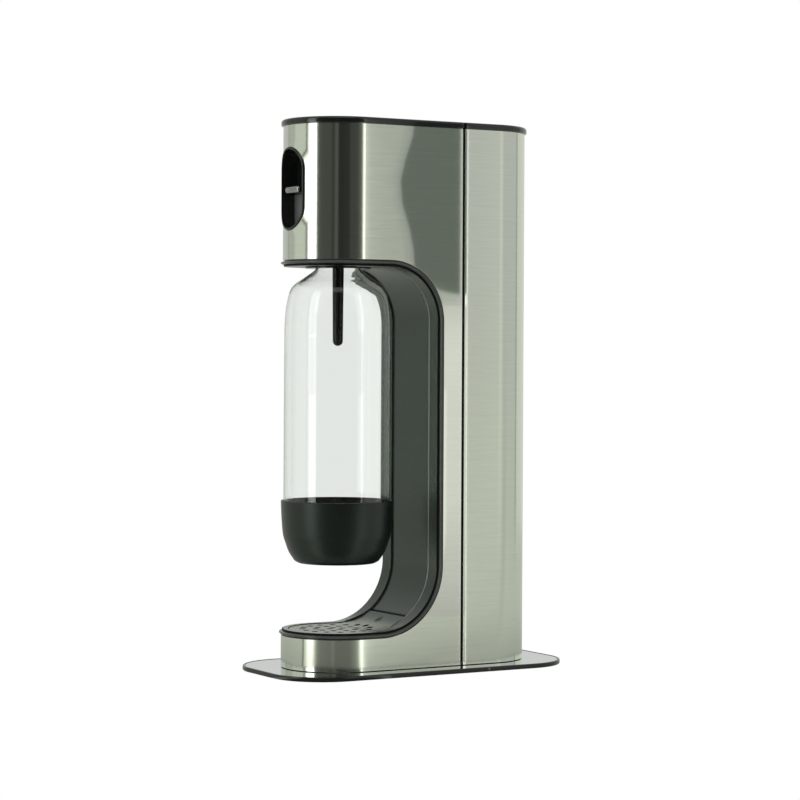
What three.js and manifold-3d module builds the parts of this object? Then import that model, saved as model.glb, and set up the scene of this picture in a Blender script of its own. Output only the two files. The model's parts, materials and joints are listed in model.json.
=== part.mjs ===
// Sparkling water maker: a steel-clad C-shaped body on a flat base, with a bottle hanging in its bay,
// a gas cylinder behind a pull-off rear cover, and a finger lever in the nose that opens the gas valve.
// Millimetres. X is to the right, Y to the back, Z up. The origin is under the middle of the base.
import * as THREE from 'three';
import { mergeVertices } from 'three/addons/utils/BufferGeometryUtils.js';
import Module from 'manifold-3d';

const wasm = await Module();
wasm.setup();

// Shared fits
const gap = 0.3;                 // between pieces that seat on each other
const overrun = 5;               // how far a cutting tool passes the face it cuts
const roundSides = 24;           // sides of a large circle
const smallSides = 12;           // sides of a small circle
const ringSides = 16;            // sides of a nut, washer or valve
const arcSteps = 7;              // steps in a quarter turn of the bay's corners
const endSides = 18;             // steps in the half circle of the body's ends

// Body
const bodyRadius = 43.5;         // half the width, and the radius of the nose and of the rear end
const endCentre = 61;            // from the middle to the centre of each round end
const sheet = 1.0;               // steel sheet of the skins
const footHeight = 24.6;         // steel of the foot
const bayHeight = 292.8;         // between the steel of the foot and of the head
const headHeight = 104.7;        // steel of the head
const bayDepth = 114.6;          // from the nose to the steel edge of the bay's back
const bayUpperRadius = 47.5;     // inner corner of the steel under the head
const bayLowerRadius = 54;       // inner corner of the steel above the foot
const seamFromBay = 16.6;        // from the bay's back edge to the rear cover's seam
const seamGap = 2.3;             // open seam between the front skin and the rear cover

// Base
const footPadDrop = 0.8;         // the pads stand this far below the base pan
const panThickness = 3.75;
const plateThickness = 1.2;
const plateInset = 0.25;         // the mirror plate lies this far below the pan's rim
const plateRim = 1.8;            // width of the pan's rim round the mirror plate
const plateMarginLong = 23;      // base beyond the nose and the rear end
const plateMarginSide = 19.75;   // base beyond each side
const plateCorner = 42.5;
const panEdgeRound = 0.9;
const skinAbovePlate = 0.45;
const padRadius = 9;
const padThickness = 2.4;
const padInset = 26;             // from the base's edges to a pad's centre, along the base
const padInsetSide = 22;

// Top caps
const capHeight = 5.1;
const capOverhang = 1.6;
const capRound = 2.2;
const skirtDepth = 5.4;
const skirtWall = 1.6;

// Bay liner, its inset panel, and the seam frame
const beadDepth = 4.9;           // the liner's bead, from the steel edge into the bay
const beadGap = 0.4;             // shadow gap between steel edge and bead
const beadProud = 1.5;           // the bead stands this far outside the steel
const linerFlange = 2.0;         // hidden flange behind the steel edge
const panelMargin = 15;          // from the body's side to the panel's edge
const panelThickness = 1.5;
const panelInset = 0.9;          // the panel's face behind the liner's face
const panelEndFromSocket = 4;    // the panel stops this far behind the socket's flange
const frameDepth = 4.7;
const frameWall = 3.2;
const frameBehindSeam = 0.4;     // the frame's rear face ahead of the rear skin's edge
const frameTopBar = 7;

// Drip tray
const trayMargin = 6;            // from the body's side to the tray's edge
const trayDrop = 0.5;            // the tray's top below the bead
const trayPlate = 1.9;
const trayTail = 9.3;            // the tray's tail ends this far behind its round part
const trayDepth = 20;
const trayWall = 1.4;
const wellWall = 1.5;
const wellGap = 0.4;
const holeRadius = 2.6;
const holeSides = 8;
const holePitch = 10.4;          // from one ring of holes to the next, and about the same along a ring
const firstRing = 5.8;
const lastRingMargin = 6;
const fingerMarkRadius = 9;      // of the ball that would just fit the finger mark in the tray's tail
const fingerMarkDepth = 1.1;
const fingerMarkFromEnd = 8;

// Bottle
const bottleMargin = 1.5;        // the bottle's side inside the body's side
const bottleWall = 1.2;
const bottleHeight = 250.3;      // from the cup's foot to the mouth
const neckRadius = 17.5;
const neckLength = 20;
const shoulderHeight = 48;
const cupProud = 2.0;            // the cup's rim outside the bottle
const cupHeight = 48.9;
const cupFloor = 3.4;
const cupStandInset = 13.7;      // the cup's foot ring inside its rim
const bottleBottomGap = 1.4;     // between the cup's floor and the bottle's lowest point
const mouthInSocket = 20;        // how far the mouth reaches above the socket's lower face

// Bottle socket, seal, carbonating head and nozzle
const socketFlangeRadius = 25.85;
const socketFlange = 1.1;
const socketWall = 3;
const socketSleeve = 21.5;
const sealThickness = 2.0;
const sealBore = 7.5;
const headMargin = 19.5;         // from the body's side to the carbonating head
const headBlock = 19.4;
const headFlangeWidth = 5;
const headFlange = 2.6;
const deckThickness = 3;
const deckAboveSocket = 3.4;     // from the top of the socket to the deck's underside
const deckFrontFromNose = 20.5;
const nozzleRadius = 4.5;
const nozzleTipRadius = 4.0;
const nozzleReach = 60.5;        // below the socket's lower face
const nozzleSocketDepth = 12;
const reliefRadius = 5;
const reliefHeight = 13;

// Gas path: cylinder, its valve, the valve socket and the pipe
const cylinderMargin = 13.5;     // from the body's side to the cylinder
const cylinderShoulder = 36;
const cylinderNeckShare = 0.435; // the shares of this group are parts of the cylinder's radius
const cylinderStand = 13;        // the cylinder hangs this far above its pad, and can drop a little less
const cylinderEdge = 6;
const valveShare = 0.35;
const valveCollar = 5;
const valveHeight = 22;
const valveEngagement = 10.5;
const pinRadius = 1.8;
const pinRecess = 0.5;
const pinLength = 11.5;
const pinTravelRoom = 3;
const socketShare = 0.57;
const socketCollarShare = 0.7;
const socketCollar = 4.2;
const bridgeThickness = 4;
const socketNut = 4.7;
const socketNutShare = 0.72;
const portBossWall = 1.8;
const socketTop = 10.5;          // solid top of the valve socket above its cavity
const washerThickness = 0.9;
const washerBore = 4;
const cavityRoom = 1.5;
const plungerRadius = 2.5;
const plungerTipRadius = 1.7;
const plungerTip = 3.2;
const plungerProud = 5.2;        // plunger above the socket's top
const pipeRadius = 3;
const pipeNutRadius = 6.2;
const pipeNut = 5.2;
const pipeSides = 6;
const pipeSteps = 22;
const portDepth = 6.3;
const portShare = 0.45;          // the ports' place sideways from the middle
const pipeBulge = 7;             // how far the pipe swings outwards between its ports
const pipeStraight = 3;

// Lever in the nose
const recessWidth = 36;
const recessHeight = 64.4;
const recessSteps = 12;          // steps in each round end of the recess
const recessShare = 0.526;       // height of the recess's centre in the head
const bezelWall = 1.6;
const bezelProud = 1.5;
const bezelFlange = 2.2;         // hidden flange behind the skin
const bezelFlangeThickness = 1.2;
const wellDepth = 17;
const wellBack = 1.5;
const tabWidth = 22;
const tabHeight = 5.4;
const tabDepth = 13;
const tabRound = 1.6;
const apronDepth = 9;            // the apron's face behind the nose
const apronWall = 1.5;
const apronLength = 31;
const apronSideLap = 1.8;
const armWidth = 14;
const armHeight = 8;
const armWall = 2;
const armAboveTab = 16;          // underside of the arm above the tab's underside
const pivotHeightShare = 0.75;   // height of the pivot in the arm
const tabHeightShare = 0.65;     // part of the tab that lies below the recess's centre
const stemLength = 6.5;
const stemFromNose = 21;
const pivotRadius = 3;
const pivotShare = 0.9;          // from the valve to the pivot
const hubRadius = 7;
const hubHalf = 15;
const earWall = 4;
const pivotClip = 1.0;
const pivotClipRadius = 5;
const leverDrop = 14.8;          // travel of the tab at full press
const pressScrewRadius = 3;
const pressScrewProud = 0.8;
const pressHeadRadius = 4.5;
const pressHead = 2.4;

// Return spring under the arm
const springRadius = 4.2;
const springWire = 1.2;
const springTurns = 5;
const springStepsPerTurn = 8;
const springSides = 5;
const springFromSpine = 11;
const springPegShare = 0.2;

// Chassis
const spineWall = 3;
const spineRib = 3;
const floorWall = 3.2;
const bossRadius = 5;
const bossHeight = 2.4;
const armSlotRoom = 2.2;
const pipeHoleRoom = 2.2;
const deckRibWidth = 3;
const cylinderPadHeight = 1.6;
const cylinderPadInset = 10;     // the pad's edge inside the cylinder's side

// Base screws
const screwRadius = 2;
const screwHeadRadius = 4;
const screwHead = 1.2;
const screwSink = 0.15;
const screwLength = 8.7;
const screwMarginSide = 16.5;    // from the body's side to a screw
const screwMarginEnd = 34.5;     // from the nose and the rear end to a screw

// Rear cover's inner frame
const coverFrameWall = 3.4;
const coverFrameDepth = 5;
const coverFrameBehindEdge = 2.4;
const coverFrameTop = 6;
const coverFlange = 1.6;         // the rear skin's edges turn inwards by this
const clipWall = 1.3;
const clipLength = 17;
const clipHeight = 28;
const clipShare = 0.5;

// Heights and places that follow
const panBottom = footPadDrop;
const panTop = panBottom + panThickness;
const plateTop = panTop - plateInset;
const plateBottom = plateTop - plateThickness;
const bodyBottom = plateTop + skinAbovePlate;
const footTop = bodyBottom + footHeight;
const headBottom = footTop + bayHeight;
const bodyTop = headBottom + headHeight;
const noseY = -(endCentre + bodyRadius);
const bayBack = noseY + bayDepth;
const seamY = bayBack + seamFromBay;
const coverY = seamY + seamGap;
const innerRadius = bodyRadius - sheet - gap;
const panelHalfWidth = bodyRadius - panelMargin;
const trayRadius = bodyRadius - trayMargin;
const bottleRadius = bodyRadius - bottleMargin;
const cupRadius = bottleRadius + cupProud;
const cupStandRadius = cupRadius - cupStandInset;
const headRadius = bodyRadius - headMargin;
const headFlangeRadius = headRadius + headFlangeWidth;
const cylinderRadius = bodyRadius - cylinderMargin;
const cylinderNeckRadius = cylinderRadius * cylinderNeckShare;
const valveRadius = cylinderRadius * valveShare;
const socketRadius = cylinderRadius * socketShare;
const socketCollarRadius = cylinderRadius * socketCollarShare;
const socketNutRadius = cylinderRadius * socketNutShare;
const portOffset = cylinderRadius * portShare;
const pivotBeyondValve = cylinderRadius * pivotShare;
const bottleY = -endCentre;
const valveY = endCentre;
const plateHalfLength = endCentre + bodyRadius + plateMarginLong;
const screwAcross = bodyRadius - screwMarginSide;
const screwAlong = endCentre + bodyRadius - screwMarginEnd;
const plateHalfWidth = bodyRadius + plateMarginSide;
const socketFace = headBottom - beadDepth - gap - socketFlange;
const mouthZ = socketFace + mouthInSocket;
const baseRise = cupHeight - cupFloor - bottleBottomGap;
const socketBore = neckRadius + 2 * gap;
const sleeveRadius = socketBore + socketWall;
const sleeveTop = socketFace + socketFlange + socketSleeve;
const sealZ = mouthZ + gap;
const headBase = Math.max(sleeveTop, sealZ + sealThickness) + gap;
const deckZ = headBase + deckAboveSocket;
const headTop = headBase + headBlock;
const spineY = bayBack + linerFlange + gap;
const recessZ = headBottom + headHeight * recessShare;
const tabBottom = recessZ - tabHeight * tabHeightShare;
const armBottom = tabBottom + armAboveTab;
const armTop = armBottom + armHeight;
const pivotY = valveY + pivotBeyondValve;
const pivotZ = armBottom + armHeight * pivotHeightShare;
const leverAngle = Math.asin(leverDrop / (pivotY - noseY));
const plungerTop = armBottom - pressScrewProud - gap;
const socketRoof = plungerTop - plungerProud;
const cavityTop = socketRoof - socketTop;
const valveTop = cavityTop - cavityRoom;
const socketMouth = valveTop - valveEngagement;
const bridgeZ = socketMouth + socketCollar + gap;
const bridgeTop = bridgeZ + bridgeThickness;
const chassisFloorTop = bodyBottom + floorWall;
const padTop = chassisFloorTop + gap + cylinderPadHeight;
const cylinderBottom = padTop + cylinderStand;
const valveBase = valveTop - valveHeight;
const cylinderTop = valveBase - gap;
const pipeFrontZ = deckZ + deckThickness + headFlange + 2 * gap + pipeNutRadius;
const pipeRearZ = bridgeTop + socketNut + 2 * gap + pipeRadius + portBossWall;
const cupBottom = mouthZ - bottleHeight;
const trayTop = footTop + beadDepth - trayDrop;
const trayBottom = trayTop - trayDepth;
const trayEndY = bottleY + trayRadius + trayTail;
const panelEndY = bottleY + socketFlangeRadius + panelEndFromSocket;
const bayMiddle = (footTop + headBottom) / 2;
const springY = spineY + spineWall + springFromSpine;
const frameBack = coverY - frameBehindSeam;
const frameFront = frameBack - frameDepth;
const reach = bodyRadius + plateMarginSide + overrun;
const farUp = bodyTop + capHeight + overrun;

// Solids from three.js geometry
function solidOf(geometry) {
  const bare = geometry.clone();
  bare.deleteAttribute('normal');
  bare.deleteAttribute('uv');
  const merged = mergeVertices(bare);
  const corners = [];
  const index = merged.index.array;
  for (let i = 0; i < index.length; i += 3) {
    const [a, b, c] = [index[i], index[i + 1], index[i + 2]];
    if (a !== b && b !== c && c !== a) corners.push(a, b, c);
  }
  const vertProperties = new Float32Array(merged.attributes.position.array);
  return new wasm.Manifold(new wasm.Mesh({ numProp: 3, vertProperties, triVerts: new Uint32Array(corners) }));
}

const join = (...solids) => solids.reduce((sum, solid) => sum.add(solid));
const cut = (solid, ...tools) => tools.reduce((rest, tool) => rest.subtract(tool), solid);

// A shape is drawn in X and Y for a prism along z, in Y and Z along x, and in X and Z along y
const [X, Y, Z] = [new THREE.Vector3(1, 0, 0), new THREE.Vector3(0, 1, 0), new THREE.Vector3(0, 0, 1)];
const turnTo = {
  x: new THREE.Matrix4().makeBasis(Y, Z, X),
  y: new THREE.Matrix4().makeBasis(X, Z, Y.clone().negate()),
  z: new THREE.Matrix4(),
};

function prism(axis, points, from, to) {
  const shape = new THREE.Shape(points);
  const geometry = new THREE.ExtrudeGeometry(shape, { depth: to - from, bevelEnabled: false });
  geometry.translate(0, 0, axis === 'y' ? -to : from);
  return solidOf(geometry.applyMatrix4(turnTo[axis]));
}

function block([x0, y0, z0], [x1, y1, z1]) {
  const geometry = new THREE.BoxGeometry(x1 - x0, y1 - y0, z1 - z0);
  return solidOf(geometry.translate((x0 + x1) / 2, (y0 + y1) / 2, (z0 + z1) / 2));
}

function revolve(profile, x = 0, y = 0, sides = roundSides) {
  const points = profile.map(([radius, height]) => new THREE.Vector2(radius, height));
  const geometry = new THREE.LatheGeometry(points, sides);
  return solidOf(geometry.rotateX(Math.PI / 2).translate(x, y, 0));
}

// Outlines
function arc(x, y, radius, from, to, steps) {
  return Array.from({ length: steps + 1 }, (_, i) => {
    const angle = from + (to - from) * i / steps;
    return new THREE.Vector2(x + radius * Math.cos(angle), y + radius * Math.sin(angle));
  });
}

const circle = (radius, x, y, sides = roundSides) => arc(x, y, radius, 0, 2 * Math.PI, sides).slice(0, sides);
const rod = (axis, radius, from, to, u, v, sides = smallSides) =>
  prism(axis, circle(radius, u, v, sides), from, to);

function stadium(radius) {
  return [
    ...arc(0, endCentre, radius, 0, Math.PI, endSides),
    ...arc(0, -endCentre, radius, Math.PI, 2 * Math.PI, endSides),
  ];
}

function roundedRectangle(halfX, halfY, corner) {
  const [x, y] = [halfX - corner, halfY - corner];
  const quarter = Math.PI / 2;
  return [[x, y], [-x, y], [-x, -y], [x, -y]].flatMap(([cx, cy], i) =>
    arc(cx, cy, corner, i * quarter, (i + 1) * quarter, arcSteps));
}

// The bay seen from the side, its edge moved into the bay by inset
function bayOutline(inset) {
  const back = bayBack - inset;
  const top = headBottom - inset;
  const bottom = footTop + inset;
  const upper = bayUpperRadius - inset;
  const lower = bayLowerRadius - inset;
  const quarter = Math.PI / 2;
  return [
    new THREE.Vector2(noseY - overrun, bottom),
    ...arc(back - lower, bottom + lower, lower, -quarter, 0, arcSteps),
    ...arc(back - upper, top - upper, upper, 0, quarter, arcSteps),
    new THREE.Vector2(noseY - overrun, top),
  ];
}

const bayVoid = (inset) => prism('x', bayOutline(inset), -reach, reach);
const insideBody = (radius, from, to) => prism('z', stadium(radius), from, to);
const aheadOf = (y) => block([-reach, noseY - plateMarginLong - overrun, -overrun], [reach, y, farUp]);
const behind = (y) => block([-reach, y, -overrun], [reach, endCentre + reach, farUp]);
const acrossX = (half, y0, y1, z0, z1) => block([-half, y0, z0], [half, y1, z1]);

// The recess in the nose, seen from the front, its edge moved inwards by inset
function recessOutline(inset) {
  const radius = recessWidth / 2 - inset;
  const rise = (recessHeight - recessWidth) / 2;
  return [
    ...arc(0, recessZ + rise, radius, 0, Math.PI, recessSteps),
    ...arc(0, recessZ - rise, radius, Math.PI, 2 * Math.PI, recessSteps),
  ];
}

const noseColumn = (radius, from, to) => rod('z', radius, from, to, 0, bottleY, endSides * 2);

// Base
const padPlaces = [-1, 1].flatMap((sideX) => [-1, 1].map((sideY) =>
  [sideX * (plateHalfWidth - padInsetSide), sideY * (plateHalfLength - padInset)]));
const screwPlaces = [-1, 1].flatMap((sideX) => [-1, 1].map((sideY) =>
  [sideX * screwAcross, sideY * screwAlong]));
const screwHoles = (from, to) => join(...screwPlaces.map(([x, y]) =>
  rod('z', screwRadius + gap, from, to, x, y)));

function edgeRounded(points, round, from, to, bevelSegments) {
  const geometry = new THREE.ExtrudeGeometry(new THREE.Shape(points), {
    depth: to - from - round, bevelEnabled: true, bevelSize: round, bevelThickness: round,
    bevelOffset: -round, bevelSegments,
  });
  const whole = solidOf(geometry.translate(0, 0, from));
  return whole.intersect(block([-2 * reach, -3 * reach, from], [2 * reach, 3 * reach, to + overrun]));
}

function basePan() {
  const outline = roundedRectangle(plateHalfWidth, plateHalfLength, plateCorner);
  const well = roundedRectangle(
    plateHalfWidth - plateRim, plateHalfLength - plateRim, plateCorner - plateRim,
  );
  const pockets = padPlaces.map(([x, y]) =>
    rod('z', padRadius + gap, -overrun, padThickness + gap / 2, x, y, ringSides));
  const headPockets = screwPlaces.map(([x, y]) =>
    rod('z', screwHeadRadius + gap, -overrun, panBottom + screwSink + screwHead + gap / 2, x, y));
  return cut(
    edgeRounded(outline, panEdgeRound, panBottom, panTop, 1),
    prism('z', well, plateBottom - gap / 2, panTop + overrun),
    ...pockets, ...headPockets, screwHoles(-overrun, panTop + overrun),
  );
}

function basePlate() {
  const inset = plateRim + gap;
  const outline = roundedRectangle(plateHalfWidth - inset, plateHalfLength - inset, plateCorner - inset);
  return cut(prism('z', outline, plateBottom, plateTop), screwHoles(-overrun, panTop + overrun));
}

const basePad = ([x, y]) => rod('z', padRadius, 0, padThickness, x, y, ringSides);

function baseScrew([x, y]) {
  const bottom = panBottom + screwSink;
  return join(
    rod('z', screwHeadRadius, bottom, bottom + screwHead, x, y),
    rod('z', screwRadius, bottom, bottom + screwLength, x, y),
  );
}

// Skins and caps
function skinTube() {
  return cut(insideBody(bodyRadius, bodyBottom, bodyTop), insideBody(bodyRadius - sheet, 0, farUp));
}

function frontSkin() {
  const recess = prism('y', recessOutline(-gap), noseY - overrun, bottleY);
  return cut(skinTube().intersect(aheadOf(seamY)), bayVoid(0), recess);
}

function rearSkin() {
  const lip = (side) => {
    const inner = bodyRadius - sheet - coverFlange;
    const outer = bodyRadius - sheet / 2;
    const [x0, x1] = side > 0 ? [inner, outer] : [-outer, -inner];
    return block([x0, coverY, chassisFloorTop + gap], [x1, coverY + sheet, bodyTop]);
  };
  return join(skinTube().intersect(behind(coverY)), lip(-1), lip(1));
}

function capRing() {
  const outline = stadium(bodyRadius + capOverhang);
  const top = edgeRounded(outline, capRound, bodyTop + gap / 2, bodyTop + capHeight, 2);
  const skirt = cut(
    insideBody(innerRadius, bodyTop - skirtDepth, bodyTop + sheet),
    insideBody(innerRadius - skirtWall, 0, bodyTop + gap / 2),
  );
  return [top, skirt];
}

function topCap() {
  const [top, skirt] = capRing();
  return join(top.intersect(aheadOf(seamY)), skirt.intersect(aheadOf(frameFront - gap)));
}

function rearCap() {
  const [top, skirt] = capRing();
  const skirtFront = coverY + coverFrameBehindEdge + coverFrameDepth + gap;
  return join(top.intersect(behind(coverY)), skirt.intersect(behind(skirtFront)));
}

// Bay
function bayLiner() {
  const bead = bayVoid(beadGap).intersect(insideBody(bodyRadius + beadProud, 0, farUp));
  const hidden = bayVoid(-linerFlange).intersect(insideBody(innerRadius, 0, farUp));
  const wellRadius = trayRadius + wellGap;
  const wellFloor = trayBottom - gap;
  const well = rod('z', wellRadius + wellWall, wellFloor - wellWall, footTop, 0, bottleY, endSides * 2);
  const panelBack = beadDepth - panelInset - panelThickness - gap;
  const tongueBack = beadDepth - trayDrop - trayPlate - gap;
  const half = panelHalfWidth + gap;
  return cut(
    join(bead, hidden, well),
    bayVoid(beadDepth),
    rod('z', wellRadius, wellFloor, bayMiddle, 0, bottleY, endSides * 2),
    rod('z', sleeveRadius + gap, bayMiddle, headBottom + headHeight, 0, bottleY, roundSides),
    bayVoid(panelBack).intersect(acrossX(half, panelEndY - gap, reach, bayMiddle, headBottom)),
    bayVoid(panelBack).intersect(acrossX(half, trayEndY - gap, reach, footTop, bayMiddle)),
    bayVoid(tongueBack).intersect(prism('z', tailOutline(gap, trayEndY), footTop, bayMiddle)),
  );
}

function bayPanel() {
  const face = beadDepth - panelInset;
  const strip = cut(bayVoid(face - panelThickness), bayVoid(face));
  return join(
    strip.intersect(acrossX(panelHalfWidth, panelEndY, reach, bayMiddle, headBottom)),
    strip.intersect(acrossX(panelHalfWidth, trayEndY, reach, footTop, bayMiddle)),
  );
}

function seamFrame() {
  const bottom = chassisFloorTop + gap;
  const top = bodyTop - gap;
  return cut(
    acrossX(innerRadius, frameFront, frameBack, bottom, top),
    acrossX(
      innerRadius - frameWall, frameFront - overrun, frameBack + overrun, bottom + frameWall, top - frameTopBar,
    ),
  );
}

// Drip tray
function trayHoles() {
  const holes = [];
  for (let ring = firstRing; ring < trayRadius - lastRingMargin; ring += holePitch) {
    const count = Math.round(2 * Math.PI * ring / holePitch);
    circle(ring, 0, bottleY, count).forEach(({ x, y }) =>
      holes.push(rod('z', holeRadius, trayBottom, bayMiddle, x, y, holeSides)));
  }
  return holes;
}

// The tray's tail from above: its sides run from the round part to the panel's corners
function tailOutline(room, endY) {
  const corner = new THREE.Vector2(panelHalfWidth + room, endY - bottleY);
  const radius = trayRadius + room;
  const side = corner.clone().rotateAround(new THREE.Vector2(), -Math.acos(radius / corner.length()))
    .setLength(radius);
  return [[side.x, side.y], [corner.x, corner.y], [-corner.x, corner.y], [-side.x, side.y]]
    .map(([x, y]) => new THREE.Vector2(x, bottleY + y));
}

function fingerMark() {
  const cornerY = bayBack - bayLowerRadius;
  const faceRadius = bayLowerRadius - beadDepth + trayDrop;
  const lean = Math.asin((trayEndY - fingerMarkFromEnd - cornerY) / faceRadius);
  const away = faceRadius - fingerMarkRadius + fingerMarkDepth;
  const ball = new THREE.SphereGeometry(fingerMarkRadius, smallSides, smallSides)
    .translate(0, cornerY + away * Math.sin(lean), footTop + bayLowerRadius - away * Math.cos(lean));
  return solidOf(ball);
}

function trayGrille() {
  const face = beadDepth - trayDrop;
  const strip = cut(bayVoid(face - trayPlate), bayVoid(face));
  const plan = join(
    rod('z', trayRadius, 0, bayMiddle, 0, bottleY, endSides * 2),
    prism('z', tailOutline(0, trayEndY - gap), 0, bayMiddle),
  );
  return cut(strip.intersect(plan), fingerMark(), ...trayHoles());
}

function trayPan() {
  const top = trayTop - trayPlate - gap;
  const outer = trayRadius - wellGap;
  return cut(
    rod('z', outer, trayBottom, top, 0, bottleY, endSides * 2),
    rod('z', outer - trayWall, trayBottom + trayWall, top + overrun, 0, bottleY, endSides * 2),
  );
}

// Bottle
const shoulderShares = [
  [0, 1], [0.3, 0.965], [0.5, 0.9], [0.63, 0.83], [0.71, 0.74], [0.78, 0.59],
  [0.85, 0.38], [0.92, 0.18], [1, 0],
];
const bottleBaseShares = [[0, 0], [0.55, 0], [0.77, 0.025], [0.9, 0.254], [0.955, 0.42], [1, 0.93]];
const cupShares = [[0.78, 0.07], [0.858, 0.18], [0.918, 0.325], [0.961, 0.46], [0.988, 0.73], [1, 1]];

function bottleSide(inset) {
  const shoulderZ = mouthZ - neckLength - shoulderHeight;
  const baseZ = cupBottom + cupFloor + bottleBottomGap + inset;
  return [
    ...bottleBaseShares.map(([r, z]) => [r * (bottleRadius - inset), baseZ + z * baseRise]),
    ...shoulderShares.map(([z, r]) =>
      [neckRadius - inset + r * (bottleRadius - neckRadius), shoulderZ + z * shoulderHeight]),
    [neckRadius - inset, mouthZ],
  ];
}

const bottleVessel = () =>
  revolve([...bottleSide(0), ...bottleSide(bottleWall).reverse()], 0, bottleY);

function bottleCup() {
  const outside = cupShares.map(([r, z]) => [r * cupRadius, cupBottom + z * cupHeight]);
  const inner = bottleRadius + gap;
  const seat = cupBottom + cupFloor;
  const inside = bottleBaseShares.slice(1).map(([r, z]) => [r * inner, seat + z * baseRise]).reverse();
  return revolve(
    [[0, cupBottom + sheet],
      [cupStandRadius - cupFloor, cupBottom + sheet], [cupStandRadius - cupFloor, cupBottom],
      [cupStandRadius, cupBottom], ...outside, [inner, cupBottom + cupHeight], ...inside, [0, seat]],
    0, bottleY,
  );
}

// Head: socket, seal, carbonating head, nozzle and relief valve
function bottleSocket() {
  const flangeTop = socketFace + socketFlange;
  return revolve([
    [socketBore, socketFace], [socketFlangeRadius, socketFace], [socketFlangeRadius, flangeTop],
    [sleeveRadius, flangeTop], [sleeveRadius, sleeveTop], [socketBore, sleeveTop], [socketBore, socketFace],
  ], 0, bottleY);
}

function neckSeal() {
  const outer = socketBore - gap;
  const top = sealZ + sealThickness;
  return ring(sealBore, outer, sealZ, top, 0, bottleY);
}

function carbonatingHead() {
  const bore = nozzleRadius + gap;
  const flangeBottom = deckZ + deckThickness + gap;
  const flangeTop = flangeBottom + headFlange;
  const body = revolve([
    [0, headBase + nozzleSocketDepth], [bore, headBase + nozzleSocketDepth], [bore, headBase],
    [headRadius, headBase], [headRadius, flangeBottom], [headFlangeRadius, flangeBottom],
    [headFlangeRadius, flangeTop], [headRadius, flangeTop], [headRadius, headTop], [0, headTop],
  ], 0, bottleY);
  const boss = rod('y', pipeRadius + portBossWall, bottleY, frontPortY, portOffset, pipeFrontZ);
  return cut(join(body, boss), rod('y', pipeRadius + gap, frontPortY - portDepth, frontPortY + overrun,
    portOffset, pipeFrontZ));
}

function nozzle() {
  const tip = socketFace - nozzleReach;
  const top = headBase + nozzleSocketDepth - gap;
  const dome = arc(0, tip + nozzleTipRadius, nozzleTipRadius, -Math.PI / 2, 0, 4).map(({ x, y }) => [x, y]);
  const profile = [...dome, [nozzleRadius, socketFace], [nozzleRadius, top], [0, top]];
  return revolve(profile, 0, bottleY, smallSides);
}

function reliefValve() {
  const [x, y] = [-headRadius / 2, bottleY + reliefRadius];
  const base = headTop + gap;
  const stem = reliefRadius / 2;
  return join(
    rod('z', reliefRadius, base, base + reliefHeight / 2, x, y, 6),
    rod('z', stem, base, base + reliefHeight, x, y),
  );
}

// Gas path
const frontPortY = bottleY + headRadius;
const rearPortY = valveY - socketNutRadius - gap;

function valveSocket() {
  const bore = valveRadius + gap;
  const hole = plungerRadius + gap;
  const collarTop = socketMouth + socketCollar;
  const body = revolve([
    [bore, socketMouth], [socketCollarRadius, socketMouth], [socketCollarRadius, collarTop],
    [socketRadius, collarTop], [socketRadius, socketRoof], [hole, socketRoof], [hole, cavityTop],
    [bore, cavityTop], [bore, socketMouth],
  ], 0, valveY, ringSides);
  const boss = rod(
    'y', pipeRadius + portBossWall, rearPortY, valveY - socketRadius / 2, portOffset, pipeRearZ,
  );
  const port = rod('y', pipeRadius + gap, rearPortY - overrun, rearPortY + portDepth, portOffset, pipeRearZ);
  return cut(join(body, boss), port);
}

function ring(inner, outer, from, to, x, y, sides = ringSides) {
  return revolve([[inner, from], [outer, from], [outer, to], [inner, to], [inner, from]], x, y, sides);
}

const socketNutRing = () => ring(socketRadius + gap, socketNutRadius, bridgeTop + gap, bridgeTop + gap + socketNut,
  0, valveY);
const valveWasher = () =>
  ring(washerBore, valveRadius, valveTop + gap, valveTop + gap + washerThickness, 0, valveY);

function pipeNutAt(y, z) {
  return cut(
    rod('y', pipeNutRadius, y, y + pipeNut, portOffset, z, 6),
    rod('y', pipeRadius + gap, y - overrun, y + pipeNut + overrun, portOffset, z),
  );
}

function gasPipe() {
  const start = frontPortY - portDepth + gap;
  const end = rearPortY + portDepth - gap;
  const bendStart = frontPortY + gap + pipeNut + pipeStraight;
  const bendEnd = rearPortY - gap - pipeNut - pipeStraight;
  const spineMiddle = spineY + spineWall / 2;
  const route = new THREE.CatmullRomCurve3([
    new THREE.Vector3(portOffset, start, pipeFrontZ),
    new THREE.Vector3(portOffset, (start + bendStart) / 2, pipeFrontZ),
    new THREE.Vector3(portOffset, bendStart, pipeFrontZ),
    new THREE.Vector3(portOffset + pipeBulge / 2, (bendStart + spineMiddle) / 2, (pipeFrontZ + pipeRearZ) / 2),
    new THREE.Vector3(portOffset + pipeBulge, spineMiddle - pipeStraight, pipeRearZ),
    new THREE.Vector3(portOffset + pipeBulge, spineMiddle + pipeStraight, pipeRearZ),
    new THREE.Vector3(portOffset, bendEnd, pipeRearZ),
    new THREE.Vector3(portOffset, (bendEnd + end) / 2, pipeRearZ),
    new THREE.Vector3(portOffset, end, pipeRearZ),
  ]);
  const section = new THREE.Shape(circle(pipeRadius, 0, 0, pipeSides));
  return solidOf(new THREE.ExtrudeGeometry(section, { steps: pipeSteps, extrudePath: route }));
}

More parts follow.
